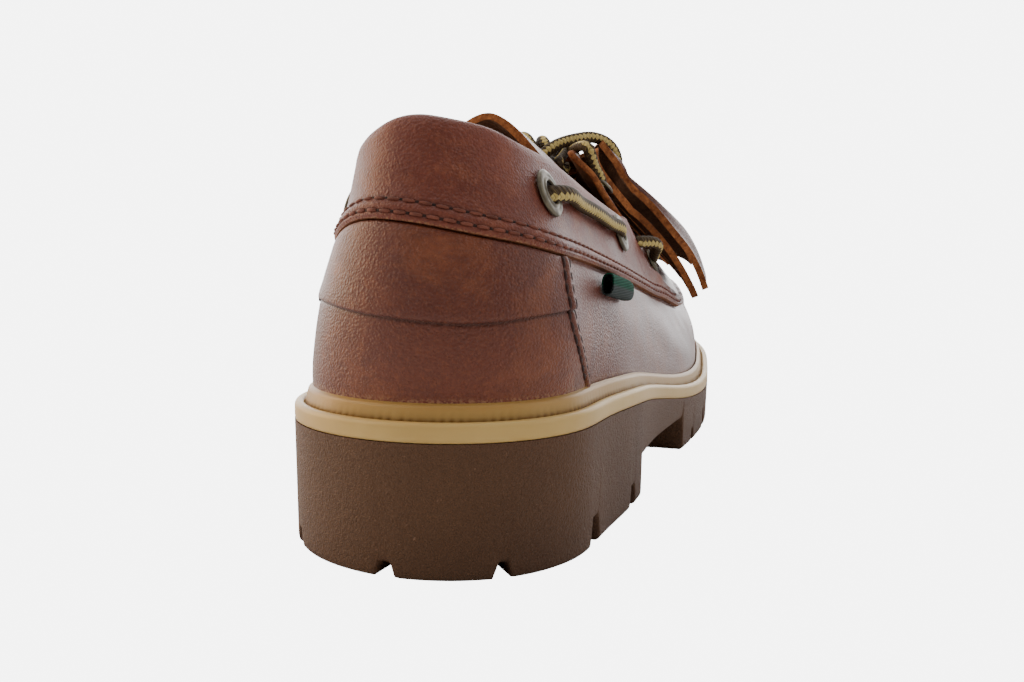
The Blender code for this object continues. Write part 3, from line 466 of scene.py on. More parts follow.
def bridge(start, count, upward):
    """Quads across a ring between its outer and inner side, matched from heel to toe."""
    faces = []
    for col in range(count // 2):
        quad = [start + col, start + col + 1, start + count - col - 1, start + (count - col) % count]
        quad = list(dict.fromkeys(quad))
        faces.append(quad if upward else quad[::-1])
    return faces


BEVEL = 0.0016
sole_place = sole_places(0.0022)
if len(sole_place) % 2:
    sole_place = np.delete(sole_place, len(sole_place) // 2)
top = outline(sole_place, 0.0)
rings = [np.column_stack([outline(sole_place, 0.003), welt_line(top[:, 1])])]
for share in (1.0, 0.985, 0.85, 0.65, 0.45, 0.28, 0.15, 0.07, 0.03, 0.0):
    plan = outline(sole_place, 0.0006 * (1 - share))
    low = underside(sole_place, plan, 0.0) + BEVEL
    rings.append(np.column_stack([plan, low + (welt_line(plan[:, 1]) - low) * share]))
for turn in (25, 50, 75, 90):
    reach = BEVEL * (1 - math.cos(math.radians(turn)))
    rise = BEVEL * (1 - math.sin(math.radians(turn)))
    plan = outline(sole_place, 0.0006 + reach)
    rings.append(np.column_stack([plan, underside(sole_place, plan, 0.0) + rise]))
for inset in (0.004, 0.007, 0.0100, 0.0112, 0.0118, 0.0124, 0.0130):
    plan = outline(sole_place, inset)
    rings.append(np.column_stack([plan, underside(sole_place, plan, inset)]))
count = len(sole_place)
faces = ring_faces(len(rings), count, False).tolist()
faces += bridge(0, count, True)
edge_ring = rings[-1]
half = count // 2
outer_side, inner_side = edge_ring[:half + 1], np.concatenate([edge_ring[:1], edge_ring[:half - 1:-1]])
across = np.linspace(0, 1, 25)[1:-1]
plan = outer_side[:, None] * (1 - across)[None, :, None] + inner_side[:, None] * across[None, :, None]
inside = plan[1:-1]
inside[..., 2] = underside(np.full(inside.shape[:2], 0.2), inside[..., :2], 1.0)
start = count * (len(rings) - 1)
base = count * len(rings)
grid = base + np.arange(inside.shape[0] * inside.shape[1]).reshape(inside.shape[:2])
left = start + np.arange(1, half)[:, None]
right = start + (count - np.arange(1, half))[:, None]
grid = np.concatenate([left, grid, right], 1)
island = np.stack([grid[:-1, :-1], grid[1:, :-1], grid[1:, 1:], grid[:-1, 1:]], -1).reshape(-1, 4)
faces += island.tolist()
heel_fan = [start] + grid[0].tolist()
toe_fan = [start + half] + grid[-1].tolist()[::-1]
faces += [heel_fan, toe_fan]

RUBBER_DARK = (0.063, 0.025, 0.010)
RUBBER_LIGHT = (0.088, 0.038, 0.016)
rubber, tree, shader, place_socket = new_material("chocolate rubber")
base = blend_colour(tree, patches(tree, place_socket, (0.35, 0.70), 22, 5), RUBBER_DARK, RUBBER_LIGHT)
speck = maths(tree, "MULTIPLY", patches(tree, place_socket, (0.70, 0.78), 900, 2), 0.60)
base = blend_colour(tree, speck, base, [c * 2.2 + 0.04 for c in RUBBER_LIGHT])
pebble = maths(tree, "MULTIPLY", noise(tree, place_socket, 900, 2), 0.7)
pebble = maths(tree, "ADD", noise(tree, place_socket, 2200, 2), pebble)
settle(tree, shader, {"Base Color": base, "Roughness": 0.60, "Specular Tint": (1.0, 0.78, 0.62, 1.0),
                      "Normal": bump(tree, pebble, 1.0, 0.0005)})
sole = make_object("sole_unit", np.concatenate([*rings, inside.reshape(-1, 3)]), faces, [rubber], crisp=60)
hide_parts("outsole")


# Welt
# The midsole is cream gum rubber moulded in one with a flat lip, an amber groove with small teeth at
# the back of it, and a raised bead that hugs the leather. It is cemented to the outsole.

LIP_HEIGHT = 0.0045
BEAD_INSET = 0.0028
TOOTH_DEPTH = 0.00055
WELT_FLOOR = 0.0035
TOOTH_PITCH = 0.0021


def welt_point(place, inset, height):
    """Point at an inset from the sole's outline and a height above the welt line."""
    plan = outline(place, inset)
    return np.concatenate([plan, (welt_line(plan[..., 1]) + height)[..., None]], -1)


def arc(middle_inset, middle_height, radius, first, last, steps):
    """Points (inset, height) on a round corner between two turns in degrees."""
    turns = np.radians(np.linspace(first, last, steps))
    return [(middle_inset - radius * math.cos(t), middle_height + radius * math.sin(t)) for t in turns]


welt_place = np.arange(640) / 640
wall_inset = FEATHER_INSET - CLEARANCE
profile = [(0.0006, 0.0), (0.0001, 0.0003), (0.0, 0.0010), (0.0, 0.0024)]
profile += arc(0.0013, LIP_HEIGHT - 0.0013, 0.0013, 0, 90, 7)
profile += [(0.0019, LIP_HEIGHT - 0.0001), (0.0023, LIP_HEIGHT - 0.0005), (0.00255, LIP_HEIGHT - 0.0009),
            (0.00275, LIP_HEIGHT - 0.0009), (0.0029, LIP_HEIGHT - 0.0003), (0.0031, LIP_HEIGHT + 0.0008)]
profile += arc(0.0046, BEAD_HEIGHT - 0.0016, 0.0014, 10, 75, 7)
profile += [(wall_inset - 0.0003, BEAD_HEIGHT - 0.0001), (wall_inset, BEAD_HEIGHT - 0.0006),
            (wall_inset, WELT_FLOOR)]
profile = np.array(profile)
inset, height, place = np.broadcast_arrays(profile[:, :1], profile[:, 1:], welt_place)
teeth = 0.5 + 0.5 * np.cos(2 * math.pi * place * LOOP_LENGTH / TOOTH_PITCH)
near_foot = bell(height - (LIP_HEIGHT + 0.0001), 0.0007) * (inset > BEAD_INSET)
points = welt_point(place, inset - TOOTH_DEPTH * teeth * near_foot, height)
# The groove's amber darkens along its floor and most between the teeth: partly its own tone, partly painted shade.
groove_amber_and_shade = bell(height - (LIP_HEIGHT - 0.0004), 0.0011) * (inset > 0.0020) * (0.55 + 0.45 * (1 - teeth))
raised = smooth((inset - BEAD_INSET) / 0.0006)
count = len(welt_place)
faces = ring_faces(len(profile), count, False).tolist()
faces += bridge(0, count, False) + bridge(count * (len(profile) - 1), count, True)

material, tree, shader, place_socket = new_material("cream gum rubber")
base = blend_colour(tree, patches(tree, place_socket, (0.3, 0.75), 30, 4), (0.580, 0.385, 0.135),
                    (0.480, 0.300, 0.090))
base = blend_colour(tree, maths(tree, "MULTIPLY", mask(tree, "raised"), 0.80), base, (0.330, 0.165, 0.036))
# Amber groove tone and painted shade in its floor and between the teeth.
base = blend_colour(tree, mask(tree, "groove_amber_and_shade"), base, (0.150, 0.064, 0.010))
settle(tree, shader, {
    "Base Color": base, "Roughness": 0.42, "Subsurface Weight": 0.12, "Subsurface Radius": (0.004, 0.002, 0.001),
    "Subsurface Scale": 0.6, "Specular Tint": (1.0, 0.84, 0.60, 1.0),
    "Normal": fine_bump(tree, place_socket, (0.12, 0.0003), 600, 3)})
masks = {"groove_amber_and_shade": groove_amber_and_shade, "raised": raised}
welt = make_object("welt", points.reshape(-1, 3), faces, [material], masks=masks, crisp=70)
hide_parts("midsole")


# Insole
# A leather board cut to the inside of the shoe, with a shallow groove near its edge. It is glued in.

WALL = 0.0022
INSOLE_THICKNESS = 0.0040
insole_place = np.arange(300) / 300
edge = FEATHER_INSET + WALL + CLEARANCE
low = WELT_FLOOR + CLEARANCE
high = low + INSOLE_THICKNESS
levels = ((edge, low), (edge, high - 0.0008), (edge + 0.0004, high - 0.0002), (edge + 0.0010, high),
          (edge + 0.0026, high), (edge + 0.0030, high - 0.0005), (edge + 0.0034, high), (edge + 0.0090, high))
rings = [welt_point(insole_place, inset, height) for inset, height in levels]
count = len(insole_place)
faces = ring_faces(len(rings), count, False).tolist()
faces += bridge(0, count, False) + bridge(count * (len(rings) - 1), count, True)
material, tree, shader, place_socket = new_material("insole leather")
cloud = patches(tree, place_socket, (0.3, 0.75), 18, 5)
settle(tree, shader, {
    "Base Color": blend_colour(tree, cloud, (0.36, 0.19, 0.095), (0.27, 0.135, 0.065)), "Roughness": 0.62,
    "Normal": fine_bump(tree, place_socket, (0.25, 0.0004), 900, 3)})
insole = make_object("sock_board", np.concatenate(rings), faces, [material])
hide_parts("insole")


# Upper
# One waxed leather shell lasted to the sole: a heel panel that ends in a stitched seam on each side,
# a smile-shaped counter line behind, plain quarters and a vamp with a raised apron seam round the toe.

PANEL_STEP = 0.0006
SEAM_ROWS = (-0.0043, -0.0008)
APRON_SEAM = 0.0014
RIM_DROP = 0.030
BAND_THICKNESS = 0.0016
BAND_TUCK = 0.0012
COUNTER_END = 0.0760
APRON_START = 0.352
BAND_LINE = (
    # turn, low
    (-0.345, 0.365), (-0.324, 0.400), (-0.290, 0.475), (-0.245, 0.522), (-0.200, 0.536), (-0.132, 0.556),
    (-0.092, 0.580), (-0.067, 0.604), (-0.050, 0.618), (-0.033, 0.624), (-0.018, 0.622), (0.000, 0.605),
    (0.018, 0.580), (0.033, 0.562), (0.050, 0.546), (0.067, 0.534), (0.092, 0.522), (0.132, 0.513),
    (0.200, 0.513), (0.245, 0.513), (0.262, 0.510), (0.290, 0.475), (0.324, 0.400), (0.345, 0.365),
)
BAND_HIGH = (
    # distance round from the heel, high
    (0.000, 0.985), (0.245, 0.985), (0.2535, 0.848), (0.262, 0.712), (0.290, 0.645), (0.324, 0.545), (0.345, 0.460),
)
COUNTER_LINE = (
    # turn, up
    (-0.110, 0.380), (-0.075, 0.362), (-0.050, 0.345), (-0.033, 0.322), (-0.018, 0.298), (0.000, 0.277),
    (0.018, 0.262), (0.033, 0.268), (0.050, 0.290), (0.075, 0.320), (0.110, 0.350),
)
APRON_LINE = (
    # distance round from the heel, up
    (0.110, 0.345), (0.200, 0.340), (0.300, 0.310), (0.345, 0.295), (0.370, 0.330), (0.395, 0.372),
    (0.432, 0.380), (0.467, 0.365), (0.500, 0.355),
)
SEAM = (
    # up, distance round from the heel
    (0.00, 0.0948), (0.16, 0.0803), (0.32, 0.0734), (0.52, 0.0764), (1.00, 0.0780),
)
band_line = open_spline(BAND_LINE)
counter_line = open_spline(COUNTER_LINE)
apron_line = open_spline(APRON_LINE)
seam_line = open_spline(SEAM)


def wall(place, up):
    """The last's skin: a cubic from the feather line (up 0) to the rim (up 1) at each place."""
    place, up = np.broadcast_arrays(np.asarray(place, float), np.asarray(up, float))
    row = section_at(place)
    plan = outline(place, FEATHER_INSET)
    foot = np.concatenate([plan, (welt_line(plan[..., 1]) + BEAD_HEIGHT)[..., None]], -1)
    rim = row[..., 2:5]
    climb = rim - foot
    flat = np.linalg.norm(climb[..., :2], axis=-1, keepdims=True)
    out = -climb[..., :2] / (flat + 1e-9)
    low = foot.copy()
    low[..., :2] += out * row[..., 6:7]
    low[..., 2] += row[..., 5] * climb[..., 2]
    slope = np.radians(row[..., 8:9])
    lean = np.concatenate([out * np.cos(slope), -np.sin(slope)], -1)
    high = rim + lean * row[..., 7:8] * np.linalg.norm(climb, axis=-1, keepdims=True)
    u = up[..., None]
    return (1 - u)**3 * foot + 3 * u * (1 - u)**2 * low + 3 * u**2 * (1 - u) * high + u**3 * rim


def directions(place, up):
    """Unit vectors of the skin: round the shoe, up the wall and outward."""
    round_step = wall(place + 1e-4, up) - wall(place - 1e-4, up)
    up_step = wall(place, up + 1e-4) - wall(place, up - 1e-4)
    outward = np.cross(round_step, up_step)
    found = (round_step, up_step, outward)
    return [vector / np.linalg.norm(vector, axis=-1, keepdims=True) for vector in found]


def skin(place, up, lift):
    """A point lifted off the last's skin."""
    place, up, lift = np.broadcast_arrays(np.asarray(place, float), np.asarray(up, float), lift)
    return wall(place, up) + directions(place, up)[2] * lift[..., None]


def band_low(place):
    """Lower edge of the collar band up the wall; past its front tips it rises out of the way."""
    away = np.abs(turn_of(place))
    return band_line(turn_of(place))[..., 0] + 0.12 * smooth((away - 0.345) / 0.03)


def band_high(place):
    """Upper edge of the collar band up the wall."""
    table = np.array(BAND_HIGH)
    return np.interp(np.abs(turn_of(place)), table[:, 0], table[:, 1])


def crease_line(place):
    """The counter line behind and the apron line in front, up the wall."""
    turn = turn_of(place)
    away = np.abs(turn)
    share = smooth((away - 0.085) / 0.025)
    return counter_line(turn)[..., 0] * (1 - share) + apron_line(away)[..., 0] * share


def outside_relief(place, up):
    """How far the leather stands off the last, and how much shade is painted into its creases and channels."""
    away = np.abs(turn_of(place))
    rise = 0.075
    beside_seam = (away - seam_line(up)[..., 0]) * LOOP_LENGTH
    heel_side = 1 - smooth((beside_seam + 0.0004) / 0.0008)
    above = (up - crease_line(place)) * rise
    line = bell(above + 0.0002, 0.0005) * heel_side
    lift = PANEL_STEP * heel_side * (1 + smooth((above + 0.0004) / 0.0007))
    lift += 0.00020 * bell(above - 0.0022, 0.0022) * heel_side - 0.00025 * line
    in_seam = (up < band_low(place)) * 1.0
    stitch = sum(bell(beside_seam - row, 0.00045) for row in SEAM_ROWS)
    lift += in_seam * (0.00060 * bell(beside_seam + 0.0025, 0.0014) - 0.00040 * stitch)
    apron = smooth((away - APRON_START) / 0.03)
    lift += apron * APRON_SEAM * bell(above, 0.0013)
    pucker = np.cos(2 * math.pi * turn_of(place) * LOOP_LENGTH / 0.0065)
    lift += apron * 0.00035 * pucker * bell(above - 0.004, 0.0028) - apron * 0.0004 * bell(above - 0.0019, 0.0005)
    soft = np.sin(turn_of(place) * 47 + up * 5) * np.cos(up * 9 + turn_of(place) * 21)
    lift += 0.00022 * soft * smooth(up * 6) * (1 - smooth((up - 0.9) * 10))
    wave = np.sin(turn_of(place) * 260 + 14 * up) * bell(up - 0.30, 0.14) * bell(away - 0.315, 0.035)
    lift += 0.00007 * wave
    lift += side_swell(place, up)
    over_band = up - band_low(place)
    tucked = BAND_TUCK * smooth(over_band / 0.15) + CLEARANCE * smooth(over_band / 0.02 + 1.4)
    lift -= tucked * (1 - smooth((away - 0.345) / 0.05))
    lift -= PANEL_STEP * 2 * heel_side * smooth((up - band_low(place) + 0.012) / 0.014)
    # Painted shade: under the counter line's overlapping edge, in the seam's stitch channels and in the groove beside
    # the apron seam.
    dark = np.clip(line * 0.75 + in_seam * stitch * 0.8 + apron * bell(above - 0.0019, 0.0006), 0, 1)
    return lift, dark


def side_swell(place, up):
    """The quarters stand out a little in front of the collar band."""
    return 0.0022 * bell(np.abs(turn_of(place)) - 0.297, 0.028) * bell(up - 0.76, 0.17)


def rim_up(place):
    """Where the wall ends up the skin: a little lower where the band folds over it."""
    return 1 - RIM_DROP * (1 - smooth((np.abs(turn_of(place)) - 0.236) / 0.02))


def upper_places():
    """Places round the shoe, close together at the heel seams."""
    even = np.arange(0, 0.5, 1 / 440)
    seam = COUNTER_END + np.linspace(-0.0080, 0.0030, 35)
    half = np.concatenate([even[np.abs(even - COUNTER_END + 0.0025) > 0.0060], seam, [0.5]])
    half = np.sort(half)
    return np.concatenate([half, np.sort(1 - half[(half > 0) & (half < 0.5)])])


place = upper_places()
low = band_low(place)
line = crease_line(place)
keys = [0 * low, line - 0.020, line + 0.020, low - 0.022, low + 0.012, rim_up(place)]
steps = (12, 14, 14, 10, 14)
ups = [keys[i] + (keys[i + 1] - keys[i]) * s for i in range(5) for s in np.arange(steps[i]) / steps[i]]
ups = np.array(ups + [keys[5]])
away = np.abs(turn_of(place))
follow = np.clip(1 - np.abs(away - COUNTER_END) / 0.030, 0, 1)
shift = (seam_line(ups)[..., 0] - COUNTER_END) * follow * (2 - follow)
spots = place + np.sign(turn_of(place)) * shift
lift, dark = outside_relief(spots, ups)
rows = [welt_point(place, FEATHER_INSET, 0.0038)] + list(skin(spots, ups, lift))
painted_shade_rows = [0 * place] + list(dark)
pull = 1 - smooth((away - 0.345) / 0.05)
recess = -(BAND_TUCK + CLEARANCE) * pull
half_wall = WALL / 2
top = skin(place, rim_up(place), recess - half_wall)
_, climb, outward = directions(place, rim_up(place))
for turn in (22, 45, 67, 90, 112, 135, 157):
    angle = math.radians(turn)
    rows.append(top + outward * half_wall * math.cos(angle) + climb * half_wall * math.sin(angle))
    painted_shade_rows.append(0 * place)
for up in np.linspace(1, 0, 14):
    reach = pull * smooth((up - 0.5) / 0.25)
    rows.append(skin(place, up * rim_up(place), -WALL - (BAND_TUCK + CLEARANCE) * reach))
    painted_shade_rows.append(0 * place)
rows.append(welt_point(place, FEATHER_INSET + WALL, 0.0038))
painted_shade_rows.append(0 * place)
faces = ring_faces(len(rows), len(place), True)
ring_of_face = np.repeat(np.arange(len(rows)), len(place))
away_of_face = np.tile(away, len(rows))
outer_rows = len(ups) + 1
raw = (ring_of_face >= outer_rows - 1) & (ring_of_face < outer_rows + 7) & (away_of_face > 0.2540)
which = np.where(ring_of_face >= outer_rows + 3, 1, 0)
which[raw] = 2


def leather(name, dark, mid, warm, rough=0.46, gloss=0.04, grain=1.1, clouds=26.0, shine=0.5, polish=0.0):
    """Waxed pull-up leather: dark and warm clouds, warm flecks and a fine pebbled grain. Masks paint shade
    into its creases and stitch channels, warm its worn hem and polish it."""
    material, tree, shader, place = new_material(name)
    cloud = patches(tree, place, (0.30, 0.66), clouds, 6, 0.62, 0.4)
    warmth = patches(tree, place, (0.50, 0.74), clouds * 1.7, 7, 0.68, 0.8)
    fine = patches(tree, place, (0.30, 0.75), 260, 4, 0.6)
    base = blend_colour(tree, cloud, dark, mid)
    base = blend_colour(tree, maths(tree, "MULTIPLY", warmth, 0.75), base, warm)
    base = blend_colour(tree, maths(tree, "MULTIPLY", fine, 0.22), base, [c * 0.55 for c in dark])
    flecks = patches(tree, place, (0.50, 0.72), 1000, 3, 0.6)
    base = blend_colour(tree, maths(tree, "MULTIPLY", flecks, 0.28), base, warm)
    # The dark mask paints shade into creases, stitch channels and under overlapping edges.
    base = blend_colour(tree, maths(tree, "MULTIPLY", mask(tree, "dark"), 0.85), base, (0.020, 0.006, 0.004))
    speckle = patches(tree, place, (0.46, 0.60), 1500, 3)
    hem = maths(tree, "MULTIPLY", mask(tree, "hem"), speckle)
    base = blend_colour(tree, hem, base, (0.36, 0.185, 0.080))
    tree.links.new(base, shader.inputs["Base Color"])
    tree.links.new(maths(tree, "ADD", rough - 0.07, maths(tree, "MULTIPLY", cloud, 0.14)), shader.inputs["Roughness"])
    shader.inputs["Specular IOR Level"].default_value = shine
    shader.inputs["Specular Tint"].default_value = (1.0, 0.88, 0.83, 1.0)
    if polish:
        tree.links.new(maths(tree, "ADD", gloss, maths(tree, "MULTIPLY", mask(tree, "polished"), polish)),
                       shader.inputs["Coat Weight"])
    else:
        shader.inputs["Coat Weight"].default_value = gloss
    shader.inputs["Coat Roughness"].default_value = 0.30
    cells = put(tree, "ShaderNodeTexVoronoi", {"Vector": place, "Scale": 1900.0, "Randomness": 1.0},
                feature="SMOOTH_F1").outputs["Distance"]
    pores = maths(tree, "ADD", cells, maths(tree, "MULTIPLY", noise(tree, place, 1500, 3), 0.9))
    tree.links.new(bump(tree, pores, grain, 0.00022), shader.inputs["Normal"])
    return material


def suede(name, colour, light):
    """Raw cut edge: fibrous, matt and warm."""
    material, tree, shader, place = new_material(name)
    fibre = patches(tree, place, (0.30, 0.70), 500, 5, 0.7)
    cloud = patches(tree, place, (0.35, 0.7), 70, 4)
    base = blend_colour(tree, fibre, colour, light)
    base = blend_colour(tree, maths(tree, "MULTIPLY", cloud, 0.55), base, [c * 0.55 for c in colour])
    tree.links.new(base, shader.inputs["Base Color"])
    shader.inputs["Roughness"].default_value = 0.86
    shader.inputs["Specular IOR Level"].default_value = 0.15
    tree.links.new(fine_bump(tree, place, (0.5, 0.0005), 1100, 4), shader.inputs["Normal"])
    return material


brown_leather = leather("brown leather", (0.076, 0.013, 0.005), (0.135, 0.028, 0.010), (0.250, 0.070, 0.019),
                        polish=0.40)
lining_leather = suede("lining leather", (0.150, 0.075, 0.040), (0.215, 0.115, 0.062))
raw_edge = suede("raw edge", (0.140, 0.038, 0.013), (0.520, 0.185, 0.060))
points = np.concatenate(rows)
hem = np.zeros((len(rows), len(place)))
hem[1:len(ups) + 1] = 0.60 * bell(ups, 0.008)
polished = np.zeros(hem.shape)
polished[1:len(ups) + 1] = smooth((away - 0.105) / 0.11) * (1 - smooth((away - 0.42) / 0.06))
upper = make_object("leather_upper", points, faces, [brown_leather, lining_leather, raw_edge], which,
                    {"dark": np.array(painted_shade_rows), "hem": hem, "polished": polished}, crisp=50)
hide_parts("upper")


# Collar band
# A second strip of the same leather folded over the top line, glued and sewn round the collar with
# two rows of thick thread. It carries the side lacing, and a narrow strip of it runs on to the vamp.

BAND_ROWS = 26
STITCH_PITCH = 0.0037
STITCH_ROWS = (0.0021, 0.0057)
WALL_RISE = 0.078


def plate(name, outer, inner, materials, keep=None, masks=None, crisp=40):
    """Closed sheet between two grids of points: outer faces take material 0, inner ones 1, and the cut
    edges 2. keep says which cells are there."""
    rows, count = outer.shape[:2]
    keep = np.ones((rows - 1, count - 1), bool) if keep is None else keep
    index = np.arange(rows * count).reshape(rows, count)
    a, b, c, d = index[:-1, :-1], index[:-1, 1:], index[1:, 1:], index[1:, :-1]
    shift = rows * count
    tops = np.stack([a, b, c, d], -1)[keep]
    faces = [tops, tops[:, ::-1] + shift]
    which = [np.zeros(len(tops), int), np.ones(len(tops), int)]
    padded = np.pad(keep, 1)
    for (up, along), first, second in (((-1, 0), b, a), ((0, 1), c, b), ((1, 0), d, c), ((0, -1), a, d)):
        beside = padded[1 + up:rows + up, 1 + along:count + along]
        open_edge = keep & ~beside
        one, two = first[open_edge], second[open_edge]
        faces.append(np.stack([one, two, two + shift, one + shift], -1))
        which.append(np.full(len(one), 2))
    faces = np.concatenate(faces)
    used, fresh = np.unique(faces, return_inverse=True)
    points = np.concatenate([outer.reshape(-1, 3), inner.reshape(-1, 3)])[used]
    masks = {key: np.concatenate([value.ravel(), value.ravel()])[used] for key, value in (masks or {}).items()}
    return make_object(name, points, fresh.reshape(-1, 4), materials, np.concatenate(which), masks, crisp=crisp)


def stitches(name, spots, ways, outs, material, length=0.0029, width=0.00075, height=0.00050):
    """One low rounded stitch at each spot, lying along ways and standing up along outs."""
    turns = np.arange(8) / 8 * 2 * math.pi
    shares = np.array([-1.0, -0.92, -0.6, 0.0, 0.6, 0.92, 1.0])
    girth = np.array([0.15, 0.60, 0.95, 1.0, 0.95, 0.60, 0.15])
    sideways = np.cross(outs, ways)
    x = np.broadcast_to((shares * length / 2)[:, None], (7, 8))
    y = girth[:, None] * np.cos(turns)[None, :] * width / 2
    z = girth[:, None] * np.sin(turns)[None, :] * height + (1 - (shares * 0.9) ** 2)[:, None] * height * 0.5
    shape = np.stack([x, y, z], -1).reshape(-1, 3)
    axes = np.stack([ways, sideways, outs], 1)
    points = spots[:, None, :] + np.einsum("pk,nkc->npc", shape, axes)
    one = ring_faces(7, 8, False)
    quads = (one[None] + (np.arange(len(spots)) * 56)[:, None, None]).reshape(-1, 4).tolist()
    caps = [list(range(s, s + 8))[::-1] for s in np.arange(len(spots)) * 56]
    caps += [list(range(s + 48, s + 56)) for s in np.arange(len(spots)) * 56]
    return make_object(name, points.reshape(-1, 3), quads + caps, [material], crisp=60)


def along_curve(place_of, up_of, lift_of, pitch, first=0.5):
    """Spots one pitch apart on a line of the skin, with its direction and the outward one."""
    share = np.linspace(0, 1, 1500)
    line = skin(place_of(share), up_of(share), lift_of(share))
    length = np.concatenate([[0], np.cumsum(np.linalg.norm(np.diff(line, axis=0), axis=1))])
    marks = np.arange(pitch * first, length[-1], pitch)
    spot_share = np.interp(marks, length, share)
    spots = skin(place_of(spot_share), up_of(spot_share), lift_of(spot_share))
    after = skin(place_of(spot_share + 0.001), up_of(spot_share + 0.001), lift_of(spot_share + 0.001))
    outs = directions(place_of(spot_share), up_of(spot_share))[2]
    ways = after - spots
    ways -= outs * (ways * outs).sum(1, keepdims=True)
    ways /= np.linalg.norm(ways, axis=1, keepdims=True)
    return spots, ways, outs


def thread(name, colour):
    """Waxed thread, or the painted shade in a needle hole: two tones with the twist as a fine bump."""
    material, tree, shader, place = new_material(name)
    tone = patches(tree, place, (0.3, 0.7), 300, 3)
    tree.links.new(blend_colour(tree, tone, colour, [c * 1.9 for c in colour]), shader.inputs["Base Color"])
    shader.inputs["Roughness"].default_value = 0.55
    shader.inputs["Specular IOR Level"].default_value = 0.20
    tree.links.new(fine_bump(tree, place, (0.5, 0.0002), 2400, 2), shader.inputs["Normal"])
    return material


def band_lift(place, up):
    """How far the band stands off the last: tucked in above, channelled under its stitches, thin at its edge."""
    above = (up - band_low(place)) * WALL_RISE
    lift = BAND_THICKNESS - BAND_TUCK * smooth((up - band_low(place)) / 0.15)
    lift -= 0.0006 * (1 - smooth(above / 0.0009))
    lift += 0.00035 * bell(above - 0.0039, 0.0012)
    for row in STITCH_ROWS:
        lift -= 0.00030 * bell(above - row, 0.00045)
    soft = np.sin(turn_of(place) * 39 + up * 7) * np.cos(up * 11 - turn_of(place) * 17)
    lift += 0.0002 * soft * smooth((above - 0.006) / 0.01)
    away = np.abs(turn_of(place))
    lift += 0.00035 * bell(away - 0.232, 0.0035) * smooth((above - 0.005) / 0.008)
    lift += 0.0003 * smooth((away - 0.245) / 0.017)
    return lift + side_swell(place, up)


turn = np.concatenate([np.arange(0, 0.2430, 1 / 440), np.linspace(0.2445, 0.2540, 8), np.linspace(0.2555, 0.345, 52)])
turn = np.concatenate([-turn[:0:-1], turn])
low, high = band_low(turn), np.where(np.abs(turn) > 0.345, 0.46, band_high(turn) * rim_up(turn))
share = np.concatenate([np.linspace(0, 0.20, 18)[:-1], np.linspace(0.20, 1, BAND_ROWS)])[:, None]
ups = low + (high - low) * share
spread = np.broadcast_to(turn, ups.shape)
outer = list(skin(spread, ups, band_lift(spread, ups)))
inner = list(skin(spread, ups, band_lift(spread, ups) - 0.0013))
top = skin(turn, rim_up(turn), -BAND_TUCK - CLEARANCE - WALL / 2)
_, climb, outward = directions(turn, rim_up(turn))
for angle in np.radians(np.linspace(20, 160, 9)):
    way = outward * math.cos(angle) + climb * math.sin(angle)
    outer.append(top + way * (WALL / 2 + 0.0017))
    inner.append(top + way * (WALL / 2 + 0.0004))
for up in np.linspace(0.985, 0.86, 7):
    outer.append(skin(turn, up * rim_up(turn), -BAND_TUCK - CLEARANCE - WALL - 0.0017))
    inner.append(skin(turn, up * rim_up(turn), -BAND_TUCK - CLEARANCE - WALL - 0.0004))
outer, inner = np.array(outer), np.array(inner)
keep = np.ones((len(outer) - 1, len(turn) - 1), bool)
middle_turn = np.abs((turn[1:] + turn[:-1]) / 2)
keep[len(share) - 1:] = middle_turn < 0.2541
above = (ups - low) * WALL_RISE
# Painted shade in the channels under the two stitch rows.
dark = np.zeros(outer.shape[:2])
dark[:len(share)] = np.clip(sum(bell(above - row, 0.0005) for row in STITCH_ROWS) * 0.6, 0, 1)
hem = np.zeros(outer.shape[:2])
hem[:len(share)] = bell(above, 0.0004) * 0.6
band_leather = leather("band leather", (0.108, 0.023, 0.012), (0.185, 0.044, 0.024), (0.280, 0.085, 0.036), rough=0.50, gloss=0.01,
                       clouds=30, shine=0.36)
cut_edge = suede("cut edge", (0.150, 0.052, 0.022), (0.260, 0.105, 0.046))
band = plate("band_leather", outer, inner, [band_leather, band_leather, cut_edge], keep, {"dark": dark, "hem": hem})
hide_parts("collar_band")


def band_stitch_line(row, lift):
    """Place, up and lift of a stitch row along the band's lower edge."""
    def place_of(share):
        return -0.338 + 0.676 * share

    def up_of(share):
        return band_low(place_of(share)) + row / WALL_RISE

    def lift_of(share):
        return band_lift(place_of(share), up_of(share)) + lift
    return place_of, up_of, lift_of


def seam_stitch_line(side, beside, lift):
    """Place, up and lift of a stitch row beside the heel seam."""
    def up_of(share):
        return 0.03 + 0.47 * share

    def place_of(share):
        return side * (seam_line(up_of(share))[..., 0] + beside / LOOP_LENGTH)

    def lift_of(share):
        return outside_relief(place_of(share), up_of(share))[0] + lift
    return place_of, up_of, lift_of


def joined(lines, pitch, first):
    """Spots, ways and outward directions of several lines in one."""
    found = [along_curve(*line, pitch, first) for line in lines]
    return [np.concatenate(values) for values in zip(*found)]


dark_thread = thread("waxed thread", (0.105, 0.033, 0.020))
needle_hole_shade = thread("needle hole shade", (0.020, 0.008, 0.006))
seam_thread = thread("seam thread", (0.022, 0.008, 0.006))
lines = [band_stitch_line(row, 0.00008) for row in STITCH_ROWS]
band_stitches = stitches("band_stitches", *joined(lines, STITCH_PITCH, 0.5), dark_thread, width=0.0008)
lines = [band_stitch_line(row, 0.0001) for row in STITCH_ROWS]
# Small dark marks between the stitches: painted shade in the needle holes.
band_hole_shade = stitches("band_hole_shade", *joined(lines, STITCH_PITCH, 1.0), needle_hole_shade, 0.0008, 0.0007, 0.0001)
lines = [seam_stitch_line(side, beside, 0.0001) for side in (1, -1) for beside in SEAM_ROWS]
seam_stitches = stitches("seam_stitches", *joined(lines, 0.0032, 0.5), seam_thread, 0.0026, 0.0011, 0.0004)


# Tongue
# One sheet of the same leather, raw at its edges, arched over the instep under the throat.

